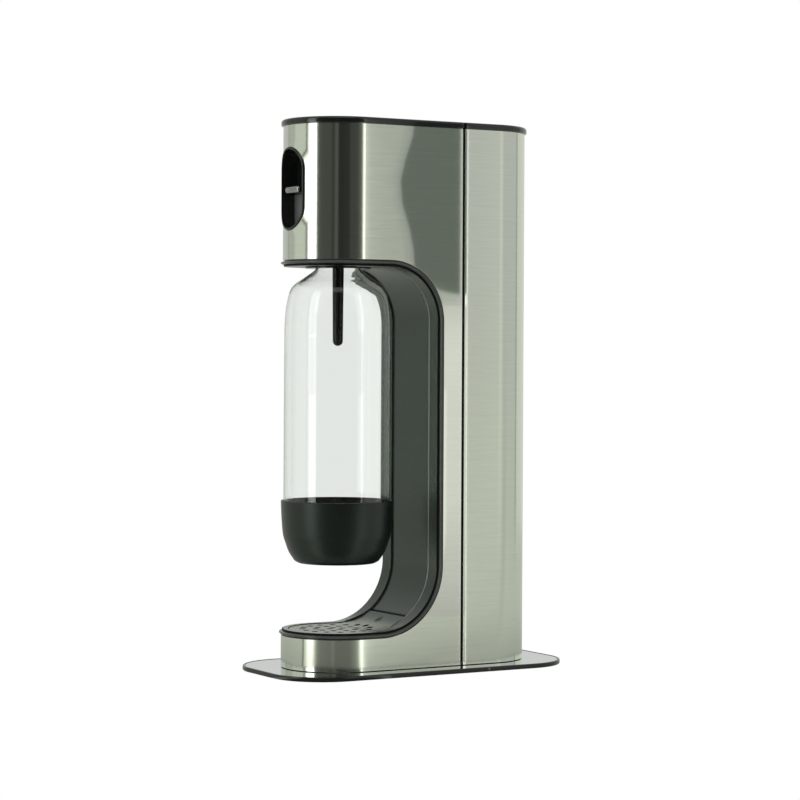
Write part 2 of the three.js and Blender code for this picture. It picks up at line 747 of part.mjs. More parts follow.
function gasCylinder() {
  const shoulderZ = cylinderTop - cylinderShoulder;
  const low = cylinderBottom;
  const foot = arc(cylinderRadius - cylinderEdge, low + cylinderEdge, cylinderEdge, -Math.PI / 2, 0, 4)
    .map(({ x, y }) => [x, y]);
  const domeRise = cylinderShoulder - cylinderEdge;
  const dome = [0, 1, 2, 3, 4].map((i) => {
    const angle = i / 4 * Math.PI / 2;
    return [
      cylinderNeckRadius + (cylinderRadius - cylinderNeckRadius) * Math.cos(angle),
      shoulderZ + domeRise * Math.sin(angle),
    ];
  });
  return revolve([
    [0, low + cylinderEdge], [cylinderRadius / 2, low + cylinderEdge / 2], ...foot, ...dome,
    [cylinderNeckRadius, cylinderTop], [0, cylinderTop],
  ], 0, valveY);
}

function cylinderValve() {
  const bore = pinRadius + gap;
  const boreBottom = valveTop - pinRecess - pinLength - pinTravelRoom;
  return revolve([
    [0, valveBase], [cylinderNeckRadius, valveBase], [cylinderNeckRadius, valveBase + valveCollar],
    [valveRadius, valveBase + valveCollar], [valveRadius, valveTop], [bore, valveTop],
    [bore, boreBottom], [0, boreBottom],
  ], 0, valveY, ringSides);
}

const valvePin = () => rod('z', pinRadius, valveTop - pinRecess - pinLength, valveTop - pinRecess, 0, valveY);

function valvePlunger() {
  const bottom = valveTop - pinRecess + gap;
  return join(
    rod('z', plungerTipRadius, bottom, plungerTop, 0, valveY),
    rod('z', plungerRadius, bottom + plungerTip, plungerTop, 0, valveY),
  );
}

const cylinderPad = () =>
  rod('z', cylinderRadius - cylinderPadInset, padTop - cylinderPadHeight, padTop, 0, valveY, roundSides);

// Lever
const earX = hubHalf + gap;
const pinEnd = earX + earWall + gap + pivotClip + sheet;

function leverBezel() {
  const back = noseY + wellDepth;
  const split = tabBottom + tabHeight + 2 * gap;
  const tube = cut(
    prism('y', recessOutline(0), noseY - overrun, back),
    prism('y', recessOutline(bezelWall), noseY - overrun, back - wellBack),
  ).intersect(noseColumn(bodyRadius + bezelProud, headBottom, bodyTop));
  const apronRoom = noseColumn(bodyRadius - apronDepth + gap, headBottom, split);
  const flangeOuter = bodyRadius - sheet - gap;
  const flange = cut(
    prism('y', recessOutline(-bezelFlange), noseY - overrun, back)
      .intersect(noseColumn(flangeOuter, headBottom, bodyTop)),
    noseColumn(flangeOuter - bezelFlangeThickness, headBottom, bodyTop),
    prism('y', recessOutline(bezelWall / 2), noseY - overrun, back),
  );
  return join(cut(tube, apronRoom), flange);
}

function leverTab() {
  const [half, top] = [tabWidth / 2, tabBottom + tabHeight];
  const outline = roundedRectangle(half, tabHeight / 2, tabRound)
    .map(({ x, y }) => new THREE.Vector2(x, y + (tabBottom + top) / 2));
  return prism('y', outline, noseY - overrun, noseY + tabDepth)
    .intersect(noseColumn(bodyRadius - gap, headBottom, bodyTop));
}

function leverApron() {
  const outer = bodyRadius - apronDepth;
  const top = tabBottom - gap;
  const half = recessWidth / 2 - bezelWall + apronSideLap;
  return cut(
    noseColumn(outer, top - apronLength, top),
    noseColumn(outer - apronWall, 0, farUp),
  ).intersect(acrossX(half, noseY, bottleY, 0, farUp));
}

function leverArm() {
  const half = armWidth / 2;
  const stemFront = noseY + stemFromNose;
  const beam = cut(
    acrossX(half, stemFront, pivotY, armBottom, armTop),
    acrossX(half - armWall, stemFront + stemLength, pivotY - hubRadius - armWall, armBottom + armWall, farUp),
  );
  const stem = acrossX(half - armWall, stemFront, stemFront + stemLength, tabBottom, armTop);
  const neckInset = tabHeight / 6;
  const neck = acrossX(half - armWall, noseY + tabDepth + gap, stemFront + stemLength,
    tabBottom + neckInset, tabBottom + tabHeight - neckInset);
  const hub = rod('x', hubRadius, -hubHalf, hubHalf, pivotY, pivotZ, roundSides);
  return cut(
    join(beam, stem, neck, hub),
    rod('x', pivotRadius + gap, -reach, reach, pivotY, pivotZ),
    rod('z', pressScrewRadius + gap, bridgeTop, farUp, 0, valveY),
  );
}

function pressScrew() {
  const seat = armBottom + armWall + gap;
  return join(
    rod('z', pressScrewRadius, armBottom - pressScrewProud, seat + pressHead, 0, valveY),
    rod('z', pressHeadRadius, seat, seat + pressHead, 0, valveY, 6),
  );
}

const leverPin = () => rod('x', pivotRadius, -pinEnd, pinEnd, pivotY, pivotZ);

function pivotClipAt(side) {
  const inner = earX + earWall + gap;
  const [x0, x1] = side > 0 ? [inner, inner + pivotClip] : [-inner - pivotClip, -inner];
  return cut(
    rod('x', pivotClipRadius, x0, x1, pivotY, pivotZ),
    rod('x', pivotRadius + gap, -reach, reach, pivotY, pivotZ),
  );
}

function returnSpring() {
  const low = bridgeTop + gap + springWire / 2;
  const high = armBottom - gap - springWire / 2;
  const positions = [];
  const faces = [];
  const steps = springTurns * springStepsPerTurn;
  const pitch = (high - low) / springTurns;
  for (let step = 0; step <= steps; step += 1) {
    const turn = 2 * Math.PI * step / springStepsPerTurn;
    const height = low + pitch * step / springStepsPerTurn;
    for (let side = 0; side < springSides; side += 1) {
      const angle = 2 * Math.PI * side / springSides;
      const out = springRadius + springWire / 2 * Math.cos(angle);
      const z = height + springWire / 2 * Math.sin(angle);
      positions.push(out * Math.cos(turn), springY + out * Math.sin(turn), z);
      if (step === steps) continue;
      const next = (side + 1) % springSides;
      const [a, b] = [step * springSides + side, step * springSides + next];
      faces.push(a, a + springSides, b, b, a + springSides, b + springSides);
    }
  }
  for (let side = 1; side < springSides - 1; side += 1) {
    faces.push(0, side, side + 1);
    faces.push(steps * springSides, steps * springSides + side + 1, steps * springSides + side);
  }
  const geometry = new THREE.BufferGeometry();
  geometry.setAttribute('position', new THREE.Float32BufferAttribute(positions, 3));
  geometry.setIndex(faces);
  return solidOf(geometry);
}

// Chassis
function chassis() {
  const floor = insideBody(innerRadius, bodyBottom, chassisFloorTop);
  const spineTop = bodyTop - skirtDepth - gap;
  const ribBack = frameFront - gap;
  const spine = acrossX(innerRadius, spineY, spineY + spineWall, bodyBottom, spineTop);
  const ribs = cut(
    acrossX(innerRadius, spineY, ribBack, bodyBottom, spineTop),
    acrossX(innerRadius - spineRib, spineY - overrun, ribBack + overrun, 0, farUp),
  );
  const bridge = acrossX(cylinderRadius, spineY, pivotY + hubRadius + sheet, bridgeZ, bridgeTop)
    .intersect(insideBody(innerRadius, 0, farUp));
  const ears = cut(
    acrossX(earX + earWall, pivotY - hubRadius, pivotY + hubRadius + sheet, bridgeZ, pivotZ + hubRadius),
    acrossX(earX, 0, reach + endCentre, bridgeTop, farUp),
    rod('x', pivotRadius + gap, -reach, reach, pivotY, pivotZ),
  );
  const deck = insideBody(innerRadius, deckZ, deckZ + deckThickness)
    .intersect(block([-reach, noseY + deckFrontFromNose, 0], [reach, spineY + spineWall, farUp]));
  const deckRibs = cut(
    acrossX(innerRadius, bottleY, spineY, headBottom + linerFlange + gap, deckZ + deckThickness),
    acrossX(innerRadius - deckRibWidth, bottleY - overrun, spineY, 0, farUp),
  );
  const bosses = screwPlaces.map(([x, y]) =>
    rod('z', bossRadius, bodyBottom, chassisFloorTop + bossHeight, x, y));
  const armDrop = (pivotY - spineY) * Math.sin(leverAngle);
  const armSlot = acrossX(armWidth / 2 + armSlotRoom, spineY - overrun, ribBack,
    armBottom - armDrop - armSlotRoom, armTop + armSlotRoom);
  const peg = rod('z', springRadius - springWire, bridgeTop - sheet,
    bridgeTop + (armBottom - bridgeTop) * springPegShare, 0, springY);
  return cut(
    join(floor, spine, ribs, bridge, ears, deck, deckRibs, ...bosses, peg),
    rod('z', socketRadius + gap, bridgeZ - overrun, farUp, 0, valveY, roundSides),
    rod('z', headRadius + gap, headBottom, farUp, 0, bottleY, roundSides),
    rod('y', pipeRadius + pipeHoleRoom, spineY - overrun, ribBack, portOffset + pipeBulge, pipeRearZ),
    screwHoles(0, chassisFloorTop + bossHeight + overrun),
    armSlot,
  );
}

// Rear cover's inner frame
function coverFrame() {
  const front = coverY + coverFrameBehindEdge;
  const bottom = chassisFloorTop + 2 * gap;
  const top = bodyTop - gap;
  const inner = innerRadius - coverFrameWall;
  return cut(
    acrossX(innerRadius, front, front + coverFrameDepth, bottom, top),
    acrossX(inner, front - overrun, front + coverFrameDepth + overrun, 0, top - coverFrameTop),
  );
}

function coverClipAt(side) {
  const outer = innerRadius - coverFrameWall - gap;
  const [x0, x1] = side > 0 ? [outer - clipWall, outer] : [-outer, clipWall - outer];
  const back = coverY + coverFrameBehindEdge + coverFrameDepth;
  const z = bodyBottom + (bodyTop - bodyBottom) * clipShare;
  return block([x0, back - clipLength, z - clipHeight / 2], [x1, back, z + clipHeight / 2]);
}

// Materials
const finish = (color, roughness, metalness, extra = {}) =>
  new THREE.MeshStandardMaterial({ color, roughness, metalness, ...extra });
const materials = {
  brushedSteel: finish(0xa9aea2, 0.34, 1),
  mirrorSteel: finish(0xc9ccc6, 0.06, 1),
  blackGloss: finish(0x161816, 0.25, 0),
  linerGrey: finish(0x3f453f, 0.38, 0),
  cupBlack: finish(0x1c201d, 0.5, 0),
  rubber: finish(0x141414, 0.8, 0),
  clear: finish(0xf2f6f3, 0.04, 0, { transparent: true, opacity: 0.28 }),
  innerPlastic: finish(0x2b2e2b, 0.6, 0),
  chrome: finish(0xd5d8d3, 0.12, 1),
  brass: finish(0xb59a5b, 0.3, 1),
  zinc: finish(0x9a9c98, 0.4, 1),
  cylinderGrey: finish(0x8c918c, 0.45, 0.6),
};

const model = new THREE.Group();

function add(name, solid, material) {
  const { vertProperties, triVerts } = solid.getMesh();
  const geometry = new THREE.BufferGeometry();
  geometry.setAttribute('position', new THREE.Float32BufferAttribute(vertProperties, 3));
  geometry.setIndex([...triVerts]);
  geometry.computeVertexNormals();
  const mesh = new THREE.Mesh(geometry, material);
  mesh.name = name;
  model.add(mesh);
}

const corners = ['front_left', 'rear_left', 'front_right', 'rear_right'];
add('base_pan', basePan(), materials.blackGloss);
add('base_plate', basePlate(), materials.mirrorSteel);
padPlaces.forEach((place, i) => add(`foot_pad_${corners[i]}`, basePad(place), materials.rubber));
screwPlaces.forEach((place, i) => add(`base_screw_${corners[i]}`, baseScrew(place), materials.zinc));

add('chassis', chassis(), materials.innerPlastic);
add('front_skin', frontSkin(), materials.brushedSteel);
add('top_cap', topCap(), materials.blackGloss);
add('bay_liner', bayLiner(), materials.linerGrey);
add('bay_panel', bayPanel(), materials.linerGrey);
add('seam_frame', seamFrame(), materials.blackGloss);

add('bottle_socket', bottleSocket(), materials.blackGloss);
add('neck_seal', neckSeal(), materials.rubber);
add('carbonating_head', carbonatingHead(), materials.innerPlastic);
add('nozzle', nozzle(), materials.blackGloss);
add('relief_valve', reliefValve(), materials.brass);
add('valve_socket', valveSocket(), materials.brass);
add('socket_nut', socketNutRing(), materials.zinc);
add('valve_washer', valveWasher(), materials.rubber);
add('gas_pipe', gasPipe(), materials.zinc);
add('pipe_nut_front', pipeNutAt(frontPortY + gap, pipeFrontZ), materials.brass);
add('pipe_nut_rear', pipeNutAt(rearPortY - gap - pipeNut, pipeRearZ), materials.brass);
add('cylinder_pad', cylinderPad(), materials.rubber);

add('lever_bezel', leverBezel(), materials.blackGloss);
add('lever_pin', leverPin(), materials.zinc);
add('pivot_clip_left', pivotClipAt(-1), materials.zinc);
add('pivot_clip_right', pivotClipAt(1), materials.zinc);
add('return_spring', returnSpring(), materials.zinc);
add('lever_arm', leverArm(), materials.innerPlastic);
add('lever_tab', leverTab(), materials.chrome);
add('lever_apron', leverApron(), materials.linerGrey);
add('press_screw', pressScrew(), materials.zinc);
add('valve_plunger', valvePlunger(), materials.zinc);

add('gas_cylinder', gasCylinder(), materials.cylinderGrey);
add('cylinder_valve', cylinderValve(), materials.brass);
add('valve_pin', valvePin(), materials.zinc);

add('rear_skin', rearSkin(), materials.brushedSteel);
add('rear_cap', rearCap(), materials.blackGloss);
add('cover_frame', coverFrame(), materials.innerPlastic);
add('cover_clip_left', coverClipAt(-1), materials.zinc);
add('cover_clip_right', coverClipAt(1), materials.zinc);

add('bottle_vessel', bottleVessel(), materials.clear);
add('bottle_cup', bottleCup(), materials.cupBlack);
add('tray_pan', trayPan(), materials.innerPlastic);
add('tray_grille', trayGrille(), materials.linerGrey);

export default model;
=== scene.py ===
# Looks for the sparkling water maker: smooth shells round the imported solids, node materials and a studio.
import json
import math

import bmesh
import bpy
import numpy as np
from mathutils import Matrix, Vector
from mathutils.geometry import delaunay_2d_cdt

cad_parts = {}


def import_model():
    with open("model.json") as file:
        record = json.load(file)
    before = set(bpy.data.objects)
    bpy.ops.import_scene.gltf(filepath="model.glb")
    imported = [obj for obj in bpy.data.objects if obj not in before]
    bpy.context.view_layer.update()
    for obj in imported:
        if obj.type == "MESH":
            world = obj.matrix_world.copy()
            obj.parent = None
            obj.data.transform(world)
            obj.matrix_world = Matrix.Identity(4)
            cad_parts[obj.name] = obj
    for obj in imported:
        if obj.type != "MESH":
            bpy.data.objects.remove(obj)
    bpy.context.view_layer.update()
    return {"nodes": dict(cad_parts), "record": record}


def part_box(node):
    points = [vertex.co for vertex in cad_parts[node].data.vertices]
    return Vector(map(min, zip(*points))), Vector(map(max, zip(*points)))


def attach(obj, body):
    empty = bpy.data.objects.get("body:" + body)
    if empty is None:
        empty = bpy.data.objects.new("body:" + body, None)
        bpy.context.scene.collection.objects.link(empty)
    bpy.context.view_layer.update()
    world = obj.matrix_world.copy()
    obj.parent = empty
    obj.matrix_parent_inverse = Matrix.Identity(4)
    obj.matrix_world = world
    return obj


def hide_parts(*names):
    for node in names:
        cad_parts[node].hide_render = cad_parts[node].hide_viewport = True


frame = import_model()
nodes = frame["nodes"]

# The frame's unit, and tolerances for near misses, for points on an axis, for merging and for slivers
MM = 0.001
NEARLY = 0.000001
AXIS = 0.01
MERGED, SLIVER = 0.02, 0.01


def node_box(node):
    """The lowest and the highest x, y and z of a node, in millimetres."""
    return [[round(c / MM, 2) for c in corner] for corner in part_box(node)]


# Body, in millimetres like all sizes here, with outer sizes from the frame
(_, NOSE_Y, BODY_BOTTOM), (BODY_RADIUS, SEAM_Y, BODY_TOP) = node_box("front_skin")
(_, COVER_Y, _), _ = node_box("rear_skin")
END_CENTRE = -NOSE_Y - BODY_RADIUS
GAP = 0.3
SHEET = 1.0
INNER_RADIUS = BODY_RADIUS - SHEET - GAP
FOOT_TOP = 29.35
HEAD_BOTTOM = 322.15
SKIN_ROWS = (5, 12, 10, 8, 6)
SKIN_EDGE = 0.16
LIP_REACH, LIP_RISE = 6.0, 0.42
COVER_ROLL = [(0.0, 0.5), (0.13, 0.28), (0.3, 0.17), (0.5, 0.12), (2.1, 0.02), (2.6, 0.0)]
COVER_ROLL_ROOM = 4.0
COVER_LIP, COVER_LIP_LIFT, COVER_LIP_DROP = 1.6, 3.5, 0.1
COVER_LIP_OVERLAP, COVER_LIP_BACK = 0.2, 0.02
# Painted shade in the seam: a black strip, given by its insets from the sheets, its seat behind the seam and
# its drop below the top
SEAM_SHADE_IN, SEAM_SHADE_OUT, SEAM_SHADE_SEAT, SEAM_SHADE_DROP = 1.3, 0.2, 0.1, 0.4

# Caps: the edge is given by inset and by height above the bottom
_, (CAP_RADIUS, _, CAP_TOP) = node_box("top_cap")
CAP_BOTTOM = 427.0
CAP_ROUND = 2.2
CAP_EDGE = [(0.5, 0.0), (0.12, 0.14), (0.0, 0.5)]
CAP_BORDER = 4.0
SKIRT_WALL, SKIRT_DEPTH = 1.6, 5.4
FRONT_SKIRT_Y, REAR_SKIRT_Y = 23.6, 36.7

# Base: the rooms under it are for pads and screws, each with its place, radius, top and sides
(_, _, PAN_BOTTOM), (*PLATE_HALF, PAN_TOP) = node_box("base_pan")
(_, _, PLATE_BOTTOM), (_, _, PLATE_TOP) = node_box("base_plate")
PLATE_CORNER = 42.5
PLATE_EDGE = 0.15
PAN_RIM, PAN_RIM_CUT = 1.8, 0.15
PAN_ROUND = 0.9
PAN_EDGE = [(1.1, 0.0), (0.4, 0.16), (0.08, 0.55), (0.0, 1.0)]
PAN_ROOMS = [(41.25, 101.5, 9.3, 2.55, 48), (27.0, 70.0, 4.3, 2.3, 32)]
BELOW = -5.0

# Bay: its profiles are given by depth inside the body's side and by inset from the steel's edge
BAY_BACK = 10.1
UPPER_RADIUS = 47.5
LOWER_RADIUS = 54.0
LOWER_CENTRE = (BAY_BACK - LOWER_RADIUS, FOOT_TOP + LOWER_RADIUS)
UPPER_CENTRE = (BAY_BACK - UPPER_RADIUS, HEAD_BOTTOM - UPPER_RADIUS)
BEAD = 4.9
BEAD_PROUD = 1.5
BEAD_CREST, BEAD_HALF = 2.05, 1.35
BEAD_SEAT, BEAD_FALL = 1.45, 2.5
BEAD_STARTS, BEAD_ENDS = [(BEAD_SEAT, -2.0), (BEAD_SEAT, 0.45)], [(1.2, 3.4), (1.2, 3.6)]
STEP_PROFILE = [(1.1, 3.0), (0.8, 3.2), (0.8, BEAD - 0.5), (0.9, BEAD - 0.15), (1.2, BEAD), (1.6, BEAD)]
FACE_PROFILE = [(1.2, BEAD), (2.2, BEAD), (3.6, BEAD)]
EDGE_ROUND = [(1.15, 0.0), (0.3, 0.0), (0.0, 0.3)]
# The painted highlight strips along the panel's edges
EDGE_HIGHLIGHT_PROFILE = [(1.5, -0.1), (0.45, 0.6), (0.25, 0.5), (0.25, -0.3), (1.5, -0.3)]
EDGE_HIGHLIGHT_REACH = 20.0
FACE_SPOTS = 40
TURN_STEPS = 48
MIDDLE_Z = 150.0
HEAD_EDGE_DROP = BEAD - 0.9
SOCKET_ROOM, SOCKET_ROOM_RISE = 21.6, 4.0

# Panel: its edge is given by inset and drop
(_, PANEL_TOP_END, _), (PANEL_HALF, _, _) = node_box("bay_panel")
PANEL_FACE = 4.0
PANEL_THICKNESS = 1.5
PANEL_BED = 2.2
PANEL_EDGE = [(0.0, -0.45), (0.12, -0.13), (0.45, 0.0)]
PANEL_BORDER = 3.0
PANEL_END_DROP, PANEL_END_TURN = 0.3, 0.5

# Drip tray: the dish is given by inset and height, the black sleeves of painted shade in the holes by inset
# and depth
(_, _, TRAY_BOTTOM), (DISH_RADIUS, _, _) = node_box("tray_pan")
_, (TRAY_RADIUS, _, _) = node_box("tray_grille")
TRAY_END = -14.2
PANEL_START, PANEL_ROUND = TRAY_END + 1.5, 0.4
TRAY_TOP = 33.75
TRAY_PLATE = 1.9
TRAY_FACE = BEAD - 0.5
TRAY_BACK = TRAY_FACE - TRAY_PLATE
TRAY_CHAMFER = 0.4
DISH_WALL = 1.4
DISH_OUTSIDE = [(2.0, 0.0), (0.6, 0.5), (0.0, 2.0)]
DISH_INSIDE = [(0.0, 3.0), (0.6, 1.8), (2.0, DISH_WALL)]
WELL_RADIUS = TRAY_RADIUS + 0.4
WELL_FLOOR = TRAY_BOTTOM - GAP
WELL_INSET = BEAD - 0.25
HOLE_RADIUS = 2.6
HOLE_RINGS = (5.8, 16.2, 26.6)
HOLE_PITCH = 10.4
HOLE_EDGE = 0.12
HOLE_SIDES = 24
HOLE_SHADE_SLEEVE = [(0.05, 4.2), (0.15, 4.05), (0.15, 2.6), (0.05, 2.6)]
INSIDE_HOLE_SHARE = 0.985
MARK_Y = TRAY_END - 8.0
MARK_BALL, MARK_DEPTH = 9.0, 1.1
MARK_RADII = (0.9, 1.8, 2.6, 3.3, 3.8, 4.15, 4.35, 4.7)
MARK_FLAT_SHARE = 0.9
MARK_CLEAR = 5.2
TAIL_ROWS_Y, TAIL_ROW, TAIL_BORDER = -30.0, 2.0, 1.5

# Bottle: heights are above the vessel's and the cup's own bottom, and the insides' radii are shares
(_, _, CUP_BOTTOM), _ = node_box("bottle_cup")
(_, _, VESSEL_BOTTOM), (VESSEL_RADIUS, _, MOUTH_Z) = node_box("bottle_vessel")
CUP_FOOT = [(AXIS, 1.0), (26.8, 1.0), (26.95, 0.2), (27.3, 0.0), (29.8, 0.0), (30.6, 0.3)]
CUP_SIDE = [(32.9, 1.5), (34.4, 3.4), (37.8, 8.8), (40.4, 15.9), (42.3, 22.5), (43.5, 35.7), (44.0, 48.0)]
CUP_RIM = [(43.95, 48.6), (43.7, 48.9), (42.6, 48.9), (42.3, 48.6)]
CUP_FLOOR = 3.4
CUP_INNER_RADIUS = 42.3
CUP_INNER_SHARES = [
    (1, 41.013), (0.985, 29.106), (0.955, 18.522), (0.9, 11.2014), (0.77, 1.1025), (0.55, 0.0),
]
NECK_RADIUS = 17.5
VESSEL_WALL, NECK_WALL = 0.8, 1.6
VESSEL_FOOT_SHARES = [
    (0.35, 3.0), (0.55, 0.1), (0.77, 1.5025), (0.895, 11.2014), (0.952, 18.522), (0.985, 30.87),
    (1, 41.013),
]
VESSEL_DIMPLE = 5.0
SHOULDER_Z, SHOULDER_HEIGHT = 267.85, 48.0
STRAIGHT_LOW, STRAIGHT_HIGH = VESSEL_BOTTOM + 44.1, SHOULDER_Z - 8
SHOULDER_SHARES = [
    (0, 1), (0.3, 0.965), (0.5, 0.9), (0.63, 0.83), (0.71, 0.74), (0.78, 0.59), (0.85, 0.38), (0.92, 0.18),
    (1, 0),
]
SHOULDER_START, SHOULDER_END = -6.0, 52.0
NECK_Z, NECK_BLEND = 296.0, 16.0
MOUTH_RIM, MOUTH_ROUND, MOUTH_CUT = 4.0, 0.4, 0.3

# Gas cylinder, socket and nozzle: the socket's heights are above its face
(_, _, CYLINDER_BOTTOM), (CYLINDER_RADIUS, _, CYLINDER_TOP) = node_box("gas_cylinder")
CYLINDER_NECK, CYLINDER_EDGE = 13.05, 6.0
CYLINDER_SHOULDER, CYLINDER_DOME = 313.11, 30.0
(_, _, SOCKET_FACE), _ = node_box("bottle_socket")
SOCKET_PROFILE = [
    (18.1, 0.5), (18.6, 0.0), (25.45, 0.0), (25.85, 0.4), (25.85, 1.1), (21.1, 1.1), (21.1, 22.6),
    (18.1, 22.6), (18.1, 0.5),
]
(_, _, NOZZLE_BOTTOM), (NOZZLE_RADIUS, _, NOZZLE_TOP) = node_box("nozzle")
NOZZLE_TIP = 4.0

# Lever: the bezel's edge is given by inset and drop, the tab's by shrink and inset
RECESS_Z = 377.2
RECESS_RADIUS = 18.0
RECESS_RISE = 14.2
BEZEL_WALL = 1.6
BEZEL_PROUD = 1.5
BEZEL_EDGE = [(0.0, 0.8), (0.06, 0.45), (0.24, 0.2), (0.48, 0.05), (0.8, 0.0)]
BEZEL_DEPTH, BEZEL_BACK = 17.0, 1.5
ROOM_LIFT = 1.0
TAB_BOTTOM, TAB_TOP = 373.7, 379.1
_, (TAB_HALF_X, _, _) = node_box("lever_tab")
TAB_HALF_Z, TAB_CORNER, TAB_DEPTH = 2.7, 2.6, 13.0
TAB_EDGE = [(1.7, 0.0), (1.1, 0.12), (0.5, 0.5), (0.15, 1.1), (0.0, 1.8)]
APRON_RADIUS = BODY_RADIUS - 9.0
APRON_HEIGHT, APRON_WALL = 31.0, 1.5
APRON_EDGE = [(0.0, 0.5), (0.15, 0.12), (0.5, 0.0)]
APRON_HALF = RECESS_RADIUS - BEZEL_WALL + 1.8


# Mesh helpers
def cosine(degrees):
    return math.cos(math.radians(degrees))


def sine(degrees):
    return math.sin(math.radians(degrees))


def side_of(hypotenuse, other):
    """The second short side of a triangle with a right angle, or nothing past its end."""
    return math.sqrt(max(0.0, hypotenuse ** 2 - other ** 2))


def arc(x, y, radius, start, end, steps):
    turns = [start + (end - start) * i / steps for i in range(steps + 1)]
    return [(x + radius * cosine(turn), y + radius * sine(turn)) for turn in turns]


def circle(x, y, radius, sides):
    return arc(x, y, radius, 0, 360, sides)[:-1]


class Shape:
    """Vertices and faces that are gathered before a mesh is made."""

    def __init__(self):
        self.vertices = []
        self.faces = []

    def add(self, vertices, faces):
        base = len(self.vertices)
        self.vertices.extend(vertices)
        self.faces.extend(tuple(base + i for i in face) for face in faces)
        return self

    def loft(self, rings, closed=True, around=False, capped=False, cap_last=False):
        """Rings of equally many points, joined in turn.

        closed joins each ring's ends, and around the last ring to the first.
        """
        count = len(rings[0])
        faces = []
        for r in range(len(rings) if around else len(rings) - 1):
            a, b = r * count, (r + 1) % len(rings) * count
            for i in range(count if closed else count - 1):
                j = (i + 1) % count
                faces.append((a + i, a + j, b + j, b + i))
        if capped:
            faces.append(tuple(range(count)))
        if capped or cap_last:
            faces.append(tuple((len(rings) - 1) * count + i for i in range(count)))
        return self.add([point for ring in rings for point in ring], faces)

    def revolve(self, profile, centre=(0.0, -END_CENTRE), sides=128, start=0.0, end=360.0):
        whole = end - start >= 360.0
        turns = [start + (end - start) * i / sides for i in range(sides if whole else sides + 1)]
        x, y = centre
        rings = [[(x + r * cosine(t), y + r * sine(t), z) for r, z in profile] for t in turns]
        return self.loft(rings, closed=False, around=whole)

    def prism(self, points, low, high):
        return self.loft([[(x, y, z) for x, y in points] for z in (low, high)], capped=True)

    def boxes(self, xs, ys, low, high):
        """A box on each side of the middle."""
        for side in (1, -1):
            x0, x1 = (side * x for x in xs)
            self.prism([(x0, ys[0]), (x1, ys[0]), (x1, ys[1]), (x0, ys[1])], low, high)
        return self


def mesh_of(name, shape):
    mesh = bpy.data.meshes.new(name)
    mesh.from_pydata([tuple(c * MM for c in v) for v in shape.vertices], [], shape.faces)
    clean = bmesh.new()
    clean.from_mesh(mesh)
    bmesh.ops.remove_doubles(clean, verts=clean.verts, dist=MERGED * MM)
    bmesh.ops.dissolve_degenerate(clean, dist=SLIVER * MM, edges=clean.edges)
    bmesh.ops.recalc_face_normals(clean, faces=clean.faces)
    clean.to_mesh(mesh)
    clean.free()
    return mesh


def new_object(name, data):
    obj = bpy.data.objects.new(name, data)
    bpy.context.scene.collection.objects.link(obj)
    return obj


def paint(obj, material):
    obj.data.materials.clear()
    obj.data.materials.append(material)


def modify(obj, modifiers):
    """Applies modifiers, each a kind with its settings, to the object's mesh."""
    for kind, settings in modifiers:
        modifier = obj.modifiers.new(kind.title(), kind)
        for key, value in settings.items():
            setattr(modifier, key, value)
    bpy.context.view_layer.update()
    evaluated = obj.evaluated_get(bpy.context.evaluated_depsgraph_get())
    obj.data = bpy.data.meshes.new_from_object(evaluated)
    obj.modifiers.clear()


def new_piece(name, shape, body, slot, replaced=(), material=None, sharp=35.0, modifiers=()):
    """A piece of the look in its slot's material, or in one of its own."""
    obj = new_object(name, mesh_of(name, shape))
    obj.data.shade_smooth()
    if modifiers:
        modify(obj, [*modifiers, ("WEIGHTED_NORMAL", {"weight": 100})])
    else:
        obj.data.set_sharp_from_angle(angle=math.radians(sharp))
    paint(obj, material or SLOT_MATERIALS[slot])
    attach(obj, body)
    if replaced:
        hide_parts(*replaced)
    return obj


def carve(obj, shape, sharp=30.0):
    """Takes the closed shape away from obj."""
    material = obj.data.materials[0]
    tool = new_object("tool", mesh_of("tool", shape))
    modify(obj, [("BOOLEAN", {"object": tool, "solver": "EXACT"})])
    bpy.data.objects.remove(tool)
    paint(obj, material)
    obj.data.shade_smooth()
    obj.data.set_sharp_from_angle(angle=math.radians(sharp))


def bevel(width):
    return ("BEVEL", {
        "width": width * MM, "segments": 2, "limit_method": "ANGLE",
        "angle_limit": math.radians(50), "harden_normals": False,
    })


def solidify(thickness):
    return ("SOLIDIFY", {"thickness": thickness * MM, "offset": -1.0, "use_even_offset": True})


def smooth_profile(points, steps=6):
    """A Catmull-Rom curve through profile points."""
    out = []
    ends = [points[0]] + list(points) + [points[-1]]
    for i in range(len(points) - 1):
        p0, p1, p2, p3 = (np.array(ends[i + k], float) for k in range(4))
        for s in range(steps):
            t = s / steps
            square = (2 * p0 - 5 * p1 + 4 * p2 - p3) * t * t
            cube = (3 * p1 - p0 - 3 * p2 + p3) * t ** 3
            out.append(tuple(0.5 * (2 * p1 + (p2 - p0) * t + square + cube)))
    out.append(tuple(points[-1]))
    return out


def offset_profile(profile, distance_at):
    """The profile moved inwards along its normals, by a distance that follows the height."""
    out = []
    for i, point in enumerate(profile):
        distance = distance_at(point[1])
        before = np.array(profile[max(0, i - 1)])
        after = np.array(profile[min(len(profile) - 1, i + 1)])
        step = (after - before) * distance / max(np.linalg.norm(after - before), NEARLY)
        out.append((max(AXIS, float(point[0] - step[1])), float(point[1] + step[0])))
    out[-1] = (profile[-1][0] - distance, profile[-1][1])
    return out


def lifted(points, height):
    return [(r, height + z) for r, z in points]


def rounded_rectangle(half_x, half_y, corner, steps=24):
    points = []
    for i, (sx, sy) in enumerate([(1, 1), (-1, 1), (-1, -1), (1, -1)]):
        points += arc(sx * (half_x - corner), sy * (half_y - corner), corner, 90 * i, 90 * (i + 1), steps)
    return points


def on_nose(places, radius):
    """Places in x and z, on the front of a column of that radius round the nose's axis."""
    return [(x, -END_CENTRE - side_of(radius, x), z) for x, z in places]


